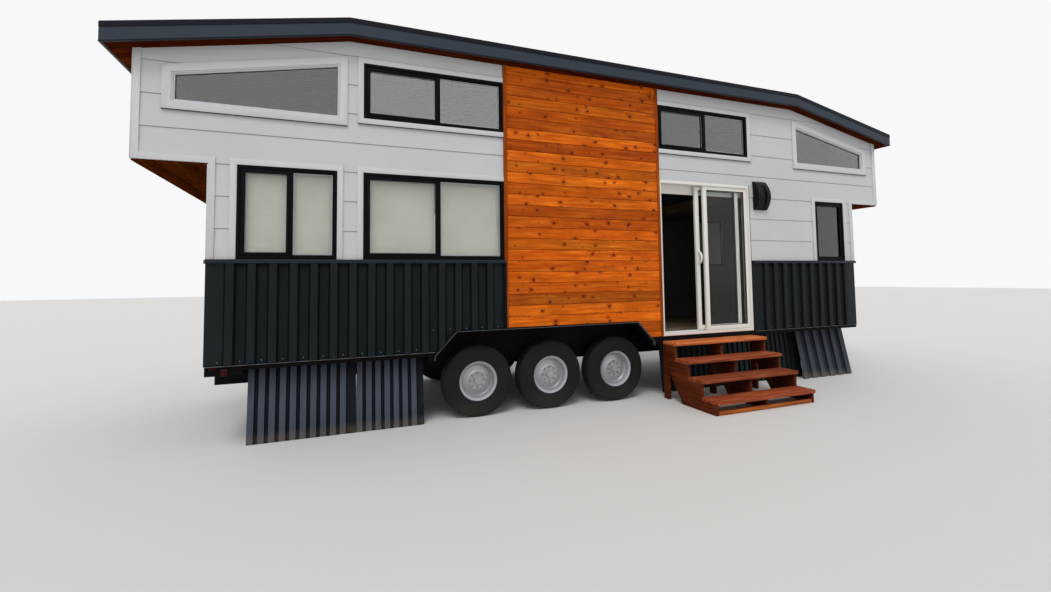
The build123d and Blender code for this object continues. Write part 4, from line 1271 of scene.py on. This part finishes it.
@dataclass
class MetalWork:
    """Ribbed wainscot, roof sheet, fascia, skirts and their fixings."""

    rib_pitch: float = 0.180
    rib_proud: float = 0.040
    valley_proud: float = 0.034
    corner: float = 0.12
    arch_start: float = 2.095
    arch_length: float = 2.783
    arch_shoulder: float = 0.236
    arch_spring: float = 0.050
    flashing: float = 0.00374
    skirt_breaks: tuple[float, float] = (1.315, 4.0)
    skirt_rise: float = 0.026
    fold_depth: float = 0.022
    fold_run: float = 0.006
    sheet: float = 0.003
    flat_depth: float = 0.006
    flashing_width: float = 0.030
    flashing_back: float = 0.012
    arch_depth: float = 0.048
    arch_margin: float = 0.05
    screw: tuple[float, float, float] = (0.0115, 0.0055, 0.004)
    screw_foot: float = 0.035
    screw_over_arch: float = 0.03
    sheets: Sequence[tuple[str, LeaningSheet, str, str]] = (
        # The sheet by the steps takes the wainscot's dark finishes as painted shade under the steps and the
        # house.
        ("skirt_recess", LeaningSheet(5.180, 28, 0.092, 0.057, 0.240, 0.10), "wainscot", "valley"),
        (
            "skirt_right", LeaningSheet(7.600, 5.5, 0.184, 0.086, 0.078, 0.20, 0.020), "skirt_faded",
            "skirt_hollow_shade",
        ),
    )

    def dress(self) -> None:
        """Builds the metal pieces."""
        for node in ("front_wainscot", "back_wainscot", "end_wainscot"):
            piece = eased_node(node, "wainscot", 0.0025)
            # Valleys and flanks take the darker finishes as painted shade.
            finish_faces(piece, "valley", self.in_valley)
            finish_faces(piece, "flank", lambda face: self.in_valley(face) and self.turned_away(face))
            finish_faces(piece, "cap", lambda face: face.center.z > CAP_LOW - HAIR)
        self.turned_edges()
        self.arch_flashing()
        self.screws()
        eased_node("roof_metal", "roof", 0.002, 1)
        eased_node("fascia", "fascia", 0.002, 1)
        self.fascia_folds()
        self.skirts()

    def beyond(self, place: Vector) -> tuple[float, float]:
        """How far a place lies outside the long sides, and outside the ends."""
        long_side = max(HOUSE.front - place.y, place.y - HOUSE.back)
        return long_side, max(HOUSE.west - place.x, place.x - HOUSE.east)

    def in_valley(self, face: bpy.types.MeshPolygon) -> bool:
        """Tells whether a face of the ribbed sheet lies between its ribs."""
        long_side, end_side = self.beyond(face.center)
        if long_side > end_side:
            along = face.center.x - HOUSE.west
            edges = (0.0, WOOD_START, WOOD_END, RIGHT_START, HOUSE.east - HOUSE.west)
        else:
            along = face.center.y - HOUSE.front
            edges = (0.0, HOUSE.back - HOUSE.front)
        shallow = max(long_side, end_side) < self.valley_proud
        return shallow and all(abs(along - edge) > self.corner for edge in edges)

    def turned_away(self, face: bpy.types.MeshPolygon) -> bool:
        """Tells whether a face of the ribbed sheet looks along its wall."""
        long_side, end_side = self.beyond(face.center)
        return abs(face.normal.x if long_side > end_side else face.normal.y) > 0.35

    def skirts(self) -> None:
        """Builds the skirts: the left pair, the shaded sheet by the steps and the wide-ribbed one."""
        bm = node_copy("skirts")
        taken = [vert for vert in bm.verts if vert.co.x > HOUSE.west + self.skirt_breaks[1]]
        bmesh.ops.delete(bm, geom=taken, context="VERTS")
        flatten(bm)
        ease(bm, 0.0012, 1)
        for vert in bm.verts:
            if vert.co.z > HOUSE.deck_bottom - 0.02:
                vert.co.z += self.skirt_rise
        self.shade_grooves(add_piece("skirts_finished", bm, "skirt", replaces=["skirts"]), "skirt_groove_shade")
        for name, sheet, finish, groove in self.sheets:
            self.shade_grooves(self.leaning_sheet(name, sheet, finish), groove)

    def leaning_sheet(self, name: str, sheet: LeaningSheet, finish: str) -> bpy.types.Object:
        """Builds a ribbed sheet that leans against the underside of the body.

        Args:
            name: Name of the piece.
            sheet: Its sizes.
            finish: Key of its finish.

        Returns:
            The new piece.
        """
        start, foot = HOUSE.west + sheet.start, HOUSE.front + sheet.setback
        near: list[tuple[float, float]] = []
        for index in range(math.ceil(sheet.ribs)):
            along = start + index * sheet.pitch
            near += [
                (along, 0.0), (along + sheet.flat, 0.0),
                (along + sheet.flat + self.fold_run, self.fold_depth),
                (along + sheet.pitch - self.fold_run, self.fold_depth),
            ]
        end = start + sheet.ribs * sheet.pitch
        last = near[-3][1] if sheet.ribs % 1 else 0.0
        near = [point for point in near if point[0] < end - 0.002] + [(end, last)]
        outline = near + [(x, depth + self.sheet) for x, depth in near][::-1]
        bm = bmesh.new()
        height = HOUSE.deck_bottom - 0.001 + sheet.rise
        prism(bm, [Vector((x, foot + depth, HAIR)) for x, depth in outline], (0, 0, height))
        for vert in bm.verts:
            vert.co.y += vert.co.z * sheet.lean
        return add_piece(name, bm, finish)

    def shade_grooves(self, piece: bpy.types.Object, finish: str) -> None:
        """Gives the grooves of ribbed sheets a darker finish, as painted shade in the recesses."""
        places = [HOUSE.west + break_x for break_x in self.skirt_breaks]
        groups: dict[int, list[bpy.types.MeshPolygon]] = {}
        for face in piece.data.polygons:
            if face.normal.y < -0.7 and abs(face.normal.x) < 0.01:
                group = sum(face.center.x > place for place in places)
                groups.setdefault(group, []).append(face)
        flats = set()
        for faces in groups.values():
            normal = max(faces, key=lambda face: face.area).normal.copy()
            reach = max(face.center.dot(normal) for face in faces if face.area > 1e-3)
            flats |= {face.index for face in faces if face.center.dot(normal) > reach - self.flat_depth}
        finish_faces(piece, finish, lambda face: face.index not in flats)

    def turned_edges(self) -> None:
        """Folded edges under the ribbed sheets, bright as a painted highlight along their foot, and a dark
        flashing at their wooden end.
        """
        flashing, folds = bmesh.new(), bmesh.new()
        wood = HOUSE.west + WOOD_START
        for side in Side:
            cuboid(
                flashing,
                (wood - self.flashing_width, side.out(self.flashing_back), HOUSE.floor + ARCH_TOP + 0.008),
                (wood - 0.0004, side.out(self.rib_proud + 0.0012), CAP_LOW - 0.002),
            )
            for start, end in (
                (HOUSE.west, HOUSE.west + self.arch_start), (HOUSE.west + side.right_start, HOUSE.east),
            ):
                cuboid(
                    folds, (start, side.face, WAINSCOT_LOW - 0.003),
                    (end, side.out(self.rib_proud - 0.004), WAINSCOT_LOW - 0.0003),
                )
        ease(flashing, 0.002)
        add_piece("wainscot_end_flashing", flashing, "flank")
        add_piece("wainscot_folds", folds, "turned_edge")

    def arch_flashing(self) -> None:
        """Thin folded edge round the wheel arch."""
        bm = bmesh.new()
        left, low = HOUSE.west + self.arch_start, HOUSE.deck_bottom
        right = left + self.arch_length
        spring, top = HOUSE.floor - self.arch_spring, HOUSE.floor + ARCH_TOP
        path = [
            (left, low), (left, spring), (left + self.arch_shoulder, top),
            (right - self.arch_shoulder, top), (right, spring), (right, low),
        ]
        for side in Side:
            made = bmesh.new()
            face, border = inset(made, path, side.face, self.flashing)
            bottom = [item for item in border if all(abs(v.co.z - low) < 0.01 for v in item.verts)]
            bmesh.ops.delete(made, geom=[face] + bottom, context="FACES")
            push(made, made.faces[:], (0, side.out(self.arch_depth) - side.face, 0))
            join(bm, made)
        add_piece("arch_flashing", bm, "hem")

    def screws(self) -> None:
        """Screw heads along the foot of the ribbed sheets."""
        bm = bmesh.new()
        arch_low = self.arch_start - self.arch_margin
        arch_high = self.arch_start + self.arch_length + self.arch_margin
        proud, radius, head = self.screw
        for side in Side:
            for start, end in ((0.0, WOOD_START), (side.right_start, HOUSE.east - HOUSE.west)):
                count = int((end - start - self.rib_pitch) // self.rib_pitch)
                first = (start + end - count * self.rib_pitch) / 2
                for index in range(count + 1):
                    along = first + index * self.rib_pitch
                    foot = WAINSCOT_LOW + self.screw_foot
                    if arch_low < along < arch_high:
                        foot = HOUSE.floor + ARCH_TOP + self.screw_over_arch
                    stud(bm, (HOUSE.west + along, side.out(proud), foot), Axis.Y, radius, head)
        add_piece("wainscot_screws", bm, "turned_edge")

    def fascia_folds(self) -> None:
        """Thin dark fold along the foot of the long fascias."""
        low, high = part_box("fascia")
        bm = bmesh.new()
        stops = [low[0], HOUSE.west + ROOF_KINK, HOUSE.east - ROOF_KINK, high[0]]
        for face, way in ((low[1], -1), (high[1], 1)):
            for first, last in zip(stops, stops[1:]):
                corners = ((first, -0.001), (last, -0.001), (last, 0.010), (first, 0.010))
                points = [Vector((x, face, HOUSE.wall_top(x) + rise)) for x, rise in corners]
                prism(bm, points, (0, way * 0.003, 0))
        add_piece("fascia_folds", bm, "roof")


@dataclass
class Trims:
    """Casings, bands and soffits, with the deck, the wheel wells' steel and the floor of the room."""

    soffit: Cladding = field(default_factory=lambda: Cladding(
        0.090, HOUSE.front, 0.003, 0.004, 0.004, 0.0015, Axis.Y,
    ))
    step_rise: float = 0.045
    step_depth: float = 0.246
    step_start: float = 0.310
    step_end: float = 2.040
    well_depth: float = 0.370
    wall: float = 0.121
    cover: tuple[float, float] = (0.0003, 0.009)
    well_span: tuple[float, float] = (2.080, 4.895)
    loft_casing: float = 0.074
    door_wall: float = 0.130
    strip_span: tuple[float, float] = (0.010, 0.024)
    strip_height: float = 0.006

    def dress(self) -> None:
        """Builds the painted trims, the soffit boards, the deck and the floor covering."""
        for side in Side:
            eased_node(f"{side.word}_trims", "trim", 0.0015)
        self.shadow_strips()
        down = Vector((0, 0, -1))
        crosswise = replace(self.soffit, origin=HOUSE.loft_west, across=Axis.X)
        for node, piece, finish, boards in (
            ("soffit_boards", "eave_boards", "eave_wood", self.soffit),
            ("overhang_soffits", "overhang_boards", "soffit", crosswise),
        ):
            add_piece(piece, boards.lay(outer_skin([node], down), down), finish)
            paint_node(node, "soffit")
        for node, finish in (
            ("roof_panel", "plain_board"), ("loft_floors", "plain_board"), ("wheel_wells", "steel"),
        ):
            paint_node(node, finish)
        self.stepped_deck()
        self.floor_covering()

    def floor_covering(self) -> None:
        """Floor of the room, laid round the wheel wells."""
        west, east = HOUSE.west + self.wall, HOUSE.east - self.wall
        well = self.well_depth + HAIR
        room_front, room_back = HOUSE.front + self.well_depth + 0.001, HOUSE.back - self.well_depth - 0.001
        spans = [(west, east, room_front, room_back)]
        well_low, well_high = (HOUSE.west + place for place in self.well_span)
        for x_low, x_high in ((west, well_low), (well_high, east)):
            spans.append((x_low, x_high, HOUSE.front + self.door_wall, HOUSE.front + well))
            spans.append((x_low, x_high, HOUSE.back - well, HOUSE.back - self.wall))
        low, high = (HOUSE.floor + part for part in self.cover)
        bm = bmesh.new()
        for x_low, x_high, y_low, y_high in spans:
            cuboid(bm, (x_low, y_low, low), (x_high, y_high, high))
        add_piece("floor_covering", bm, "flooring")

    def stepped_deck(self) -> None:
        """Deck whose front edge is thinner above the leaning skirts, so that they stand behind its rim."""
        bm = node_copy("floor_deck")
        line = HOUSE.deck_bottom + self.step_rise
        for vert in bm.verts:
            vert.co.z = max(vert.co.z, line)
        well_start, well_end = (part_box("wheel_wells")[end][0] - HOUSE.west for end in (0, 1))
        for start, end, inset_front, inset_back in (
            (0.0, self.step_start, 0.0, 0.0), (self.step_start, self.step_end, self.step_depth, 0.0),
            (self.step_end, well_start, 0.0, 0.0), (well_start, well_end, self.well_depth, self.well_depth),
            (well_end, RIGHT_START, 0.0, 0.0), (RIGHT_START, HOUSE.east - HOUSE.west, self.step_depth, 0.0),
        ):
            cuboid(
                bm, (HOUSE.west + start, HOUSE.front + inset_front, HOUSE.deck_bottom),
                (HOUSE.west + end, HOUSE.back - inset_back, line),
            )
        add_piece("floor_deck_finished", bm, "steel", replaces=["floor_deck"])

    def shadow_strips(self) -> None:
        """Thin dark strips under the casings of the upper windows, as painted shadow below each casing."""
        wide_low, wide_high, sill = Windows.upper.span[:3]
        over_low, over_high = Windows.over_door.span[:2]
        upper, loft = sill - TRIM_WIDTH, HOUSE.floor + Windows.loft_sill - self.loft_casing
        loft_low = HOUSE.loft_west + Windows.loft_start - self.loft_casing
        loft_high = loft_low + Windows.loft_width + 2 * self.loft_casing
        mirror = HOUSE.west + HOUSE.east
        bm = bmesh.new()
        for side in Side:
            near, far = (side.out(part) for part in self.strip_span)
            for x_low, x_high, z in (
                (wide_low - TRIM_WIDTH, wide_high, upper), (over_low, over_high + TRIM_WIDTH, upper),
                (loft_low, loft_high, loft), (mirror - loft_high, mirror - loft_low, loft),
            ):
                cuboid(bm, (x_low, near, z - self.strip_height), (x_high, far, z - HAIR))
        add_piece("casing_shadow_strips", bm, "fascia")


@dataclass
class PatioDoor:
    """The sliding door: frame, panels, gaskets, handle and threshold."""

    gasket: float = 0.006
    plate_edge: float = 0.006
    plate_reach: float = 0.020
    plate: float = 0.004
    jamb: float = 0.034
    gasket_proud: float = 0.003
    touch: float = 0.0003
    strip_span: tuple[float, float] = (0.012, 0.015)
    strip_rise: tuple[float, float] = (0.0353, 0.042)

    def dress(self) -> None:
        """Builds the door's pieces."""
        eased_node("door_frame", "vinyl", 0.002)
        eased_node("door_fixed_panel", "vinyl", 0.004)
        eased_node("door_leaf", "vinyl", 0.004, body="sliding_door")
        eased_node("door_handle", "vinyl", 0.003, body="sliding_door")
        for name, body in (("door_fixed", "root"), ("door_leaf", "sliding_door")):
            paint_node(f"{name}_glass", "door_glass")
            low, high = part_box(f"{name}_glass")
            bm = bmesh.new()
            outline = rectangle(low[0], high[0], low[2], high[2])
            for y, way in ((low[1], -1), (high[1], 1)):
                near, far = sorted((y + way * self.touch, y + way * self.gasket_proud))
                ring(bm, outline, self.gasket, near, far)
            add_piece(f"{name}_gasket", bm, "gasket", body)
        self.hardware()

    def hardware(self) -> None:
        """Plate behind the handle and a metal strip on the sill."""
        low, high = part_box("door_handle")
        bm = bmesh.new()
        cuboid(
            bm, (low[0] - self.plate_edge, high[1] - self.plate, low[2] - self.plate_reach),
            (high[0] + self.plate_edge, high[1] - self.touch, high[2] + self.plate_reach),
        )
        ease(bm, 0.0015)
        add_piece("door_handle_plate", bm, "vinyl", "sliding_door")
        low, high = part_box("door_frame")
        bm = bmesh.new()
        (near, far), (foot, top) = self.strip_span, self.strip_rise
        cuboid(
            bm, (low[0] + self.jamb, low[1] + near, HOUSE.floor + foot),
            (high[0] - self.jamb, low[1] + far, HOUSE.floor + top),
        )
        add_piece("door_sill_strip", bm, "spacer")


@dataclass
class Steps:
    """Treads with eased edges, stringers, posts and screws."""

    rise: float = 0.187
    run: float = 0.227
    count: int = 4
    screw_rows: tuple[float, float] = (0.075, 0.185)
    screw_edge: float = 0.02
    screw: tuple[float, float] = (0.005, 0.0012)

    def dress(self) -> None:
        """Builds the steps' pieces."""
        eased_node("step_treads", "redwood", 0.005, 3)
        for node in ("step_stringers", "step_posts"):
            eased_node(node, "redwood_side", 0.002, 1)
        eased_node("step_front_rail", "amber", 0.003)
        low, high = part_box("step_treads")
        left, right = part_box("step_stringers")
        bm = bmesh.new()
        for index in range(self.count):
            top = high[2] - index * self.rise
            back = high[1] - index * self.run
            for x in (left[0] + self.screw_edge, (low[0] + high[0]) / 2, right[0] - self.screw_edge):
                for row in self.screw_rows:
                    stud(bm, (x, back - row, top), Axis.Z, *self.screw)
        add_piece("step_screws", bm, "steel")


@dataclass
class PorchLight:
    """Hooded lamp with two rounded cheeks and a channel between them."""

    cheek: float = 0.31
    recess: float = 0.84
    brow: float = 0.83
    steps: int = 16

    def dress(self) -> None:
        """Builds the lamp in place of its CAD node."""
        low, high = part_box("porch_light")
        width, height, reach = high[0] - low[0], high[2] - low[2], HOUSE.front - low[1]
        bm = bmesh.new()
        for start, end, foot, top, depth in (
            (0.0, self.cheek, 0.0, 1.0, 1.0), (1 - self.cheek, 1.0, 0.0, 1.0, 1.0),
            (self.cheek, 1 - self.cheek, 0.0, self.brow, self.recess),
            (self.cheek, 1 - self.cheek, self.brow, 1.0, 1.0),
        ):
            x = low[0] + start * width
            points = [Vector((x, HOUSE.front, low[2] + foot * height))]
            for step in range(self.steps + 1):
                share = foot + (top - foot) * step / self.steps
                bow = math.sin(math.pi * (0.08 + 0.88 * share)) ** 0.75
                points.append(Vector((x, HOUSE.front - reach * depth * bow, low[2] + share * height)))
            points.append(Vector((x, HOUSE.front, low[2] + top * height)))
            prism(bm, points, ((end - start) * width, 0, 0))
        ease(bm, 0.0015, 1)
        add_piece("porch_lamp", bm, "lamp_black", replaces=["porch_light"])


@dataclass
class Wheel:
    """A road wheel: a grooved tyre and a dished rim with its hub and nuts."""

    node: str
    body: str
    side: Side
    radius: float = 0.400
    width: float = 0.205
    rim_radius: float = 0.212
    turns: int = 64
    nuts: int = 8
    nut_circle: float = 0.082
    nut_depth: float = 0.052
    nut: tuple[float, float, float] = (0.011, 0.009, 0.020)
    grooves: Sequence[float] = (0.068, 0.1025, 0.137)

    def dress(self) -> None:
        """Builds the wheel in place of its CAD node."""
        low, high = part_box(self.node)
        self.centre = Vector(((low[0] + high[0]) / 2, 0, (low[2] + high[2]) / 2))
        self.outer = low[1] if self.side is Side.FRONT else high[1]
        self.inward = -self.side.value
        add_piece(f"{self.node}_tyre", self.spun(self.tyre_section()), "tyre", self.body, [self.node])
        add_piece(f"{self.node}_rim", self.spun(self.rim_section()), "rim", self.body)
        bm = bmesh.new()
        turn = Matrix.Rotation(math.pi / 2, 4, "X")
        foot, top, height = self.nut
        for index in range(self.nuts):
            angle = 2 * math.pi * index / self.nuts
            offset = Vector((self.nut_circle * math.cos(angle), 0, self.nut_circle * math.sin(angle)))
            place = self.centre + offset
            place.y = self.outer + self.inward * self.nut_depth
            bmesh.ops.create_cone(
                bm, cap_ends=True, segments=6, radius1=foot, radius2=top, depth=height,
                matrix=Matrix.Translation(place) @ turn,
            )
        add_piece(f"{self.node}_nuts", bm, "nut", self.body)

    def tyre_section(self) -> list[tuple[float, float]]:
        """Radius and depth round the tyre's section, closed."""
        radius, width, rim = self.radius, self.width, self.rim_radius
        flank = [
            (rim, 0.022), (rim + 0.012, 0.006), (rim + 0.05, 0.0), (radius - 0.075, 0.0),
            (radius - 0.03, 0.008), (radius - 0.008, 0.020), (radius, 0.034),
        ]
        points = list(flank)
        for groove in self.grooves:
            points += [
                (radius, groove - 0.006), (radius - 0.009, groove - 0.004),
                (radius - 0.009, groove + 0.004), (radius, groove + 0.006),
            ]
        return points + [(reach, width - depth) for reach, depth in flank[::-1]]

    def rim_section(self) -> list[tuple[float, float]]:
        """Radius and depth round the rim's section, closed."""
        rim, width = self.rim_radius, self.width
        return [
            (0.0005, 0.030), (0.038, 0.030), (0.040, 0.062), (0.062, 0.064), (0.100, 0.058), (0.128, 0.074),
            (0.165, 0.082), (0.184, 0.060), (0.190, 0.022), (rim + 0.006, 0.010), (rim + 0.006, 0.016),
            (rim - 0.003, 0.026), (rim - 0.003, width - 0.016), (0.182, width - 0.016), (0.176, 0.100),
            (0.0005, 0.100),
        ]

    def spun(self, section: Sequence[tuple[float, float]]) -> Mesh:
        """Turns a closed section round the wheel's axis."""
        bm = bmesh.new()
        points = [
            bm.verts.new((self.centre.x + radius, self.outer + self.inward * depth, self.centre.z))
            for radius, depth in section
        ]
        edges = [bm.edges.new((a, b)) for a, b in zip(points, points[1:] + points[:1])]
        bmesh.ops.spin(
            bm, geom=points + edges, cent=self.centre, axis=(0, 1, 0), dvec=(0, 0, 0),
            angle=2 * math.pi, steps=self.turns, use_merge=True, use_duplicate=False,
        )
        weld(bm)
        return bm


@dataclass
class Trailer:
    """The steel under the house, with its wheels and tail lamps."""

    def dress(self) -> None:
        """Builds the trailer's pieces."""
        for node, width in (
            ("chassis_rails", 0.004), ("crossmembers", 0.004), ("axles", 0.003), ("corner_jacks", 0.003),
            ("tongue_beams", 0.004), ("tow_coupler", 0.004), ("tongue_jack", 0.003),
        ):
            eased_node(node, "steel", width, 2)
        eased_node("tail_lights", "lens", 0.006, 3)
        for side in Side:
            for index in range(1, 4):
                Wheel(f"road_wheel_{side.word}_{index}", f"wheel_{side.word}_{index}", side).dress()


@dataclass
class Studio:
    """Camera, floor and soft light."""

    yaw: float = math.radians(20.93)
    pitch: float = math.radians(3.10)
    roll: float = math.radians(-0.75)
    place: tuple[float, float, float] = (1.149, -5.148, 0.753)
    focal_pixels: float = 478.4
    centre_x: float = 522.8
    centre_y: float = 253.4
    ambient: float = 0.80
    sun: float = 1.25

    def set_up(self) -> None:
        """Adds the camera, the floor and the light."""
        self.camera()
        self.floor()
        self.light()
        bpy.context.scene.view_settings.view_transform = "Standard"

    def camera(self) -> None:
        """Adds the camera at the photograph's place and angle."""
        level_part = math.cos(self.pitch)
        forward = Vector((
            math.sin(self.yaw) * level_part, math.cos(self.yaw) * level_part, math.sin(self.pitch),
        ))
        level = Vector((math.cos(self.yaw), -math.sin(self.yaw), 0))
        upright = level.cross(forward)
        right = level * math.cos(self.roll) + upright * math.sin(self.roll)
        up = upright * math.cos(self.roll) - level * math.sin(self.roll)
        data = bpy.data.cameras.new("photo_view")
        data.sensor_width = 36.0
        data.lens = 36.0 * self.focal_pixels / PHOTO_WIDTH
        data.shift_x = (PHOTO_WIDTH / 2 - self.centre_x) / PHOTO_WIDTH
        data.shift_y = (self.centre_y - PHOTO_HEIGHT / 2) / PHOTO_WIDTH
        camera = linked("photo_view", data)
        turn = Matrix((right, up, -forward)).transposed().to_4x4()
        x, y, z = self.place
        place = HOUSE.west + x, HOUSE.front + y, HOUSE.floor + z
        camera.matrix_world = Matrix.Translation(place) @ turn
        bpy.context.scene.camera = camera

    def floor(self) -> None:
        """Adds a plain pale floor."""
        shader = Shader("pale_floor", Roughness=0.9, Base_Color=(0.62, 0.61, 0.59, 1.0))
        bm = bmesh.new()
        bmesh.ops.create_grid(bm, x_segments=1, y_segments=1, size=60.0)
        mesh = mesh_from("studio_floor", bm)
        mesh.materials.append(shader.material)
        linked("studio_floor", mesh)

    def light(self) -> None:
        """Adds a soft key lamp, and a world that lights evenly and looks pale grey."""
        world = bpy.data.worlds.new("studio")
        world.use_nodes = True
        bpy.context.scene.world = world
        tree = world.node_tree
        tree.nodes.clear()
        rays = add_node(tree, "LightPath").outputs
        seen = rays["Is Camera Ray"]
        for kind in ("Is Glossy Ray", "Is Transmission Ray"):
            seen = add_node(tree, "Math", {0: seen, 1: rays[kind]}, operation="MAXIMUM").outputs[0]
        ambient = add_node(tree, "Background", {"Color": (0.985, 0.99, 1.0, 1.0), "Strength": self.ambient})
        shown = add_node(tree, "Background", {"Color": (0.93, 0.94, 0.95, 1.0)})
        mix = add_node(tree, "MixShader", {0: seen, 1: ambient.outputs[0], 2: shown.outputs[0]})
        add_node(tree, "OutputWorld", {0: mix.outputs[0]})
        data = bpy.data.lights.new("soft_key", "SUN")
        data.energy = self.sun
        data.angle = math.radians(25)
        direction = Vector((0.32, 0.55, -1.0))
        linked("soft_key", data).rotation_euler = direction.to_track_quat("-Z", "Y").to_euler()


def main() -> None:
    """Builds the studio and every sub-assembly in order."""
    logging.basicConfig(level=logging.INFO, format="%(message)s")
    Studio().set_up()
    for kind in (Walls, Windows, MetalWork, Trims, PatioDoor, Steps, PorchLight, Trailer):
        LOG.info("building %s", kind.__name__)
        kind().dress()


if __name__ == "__main__":
    main()
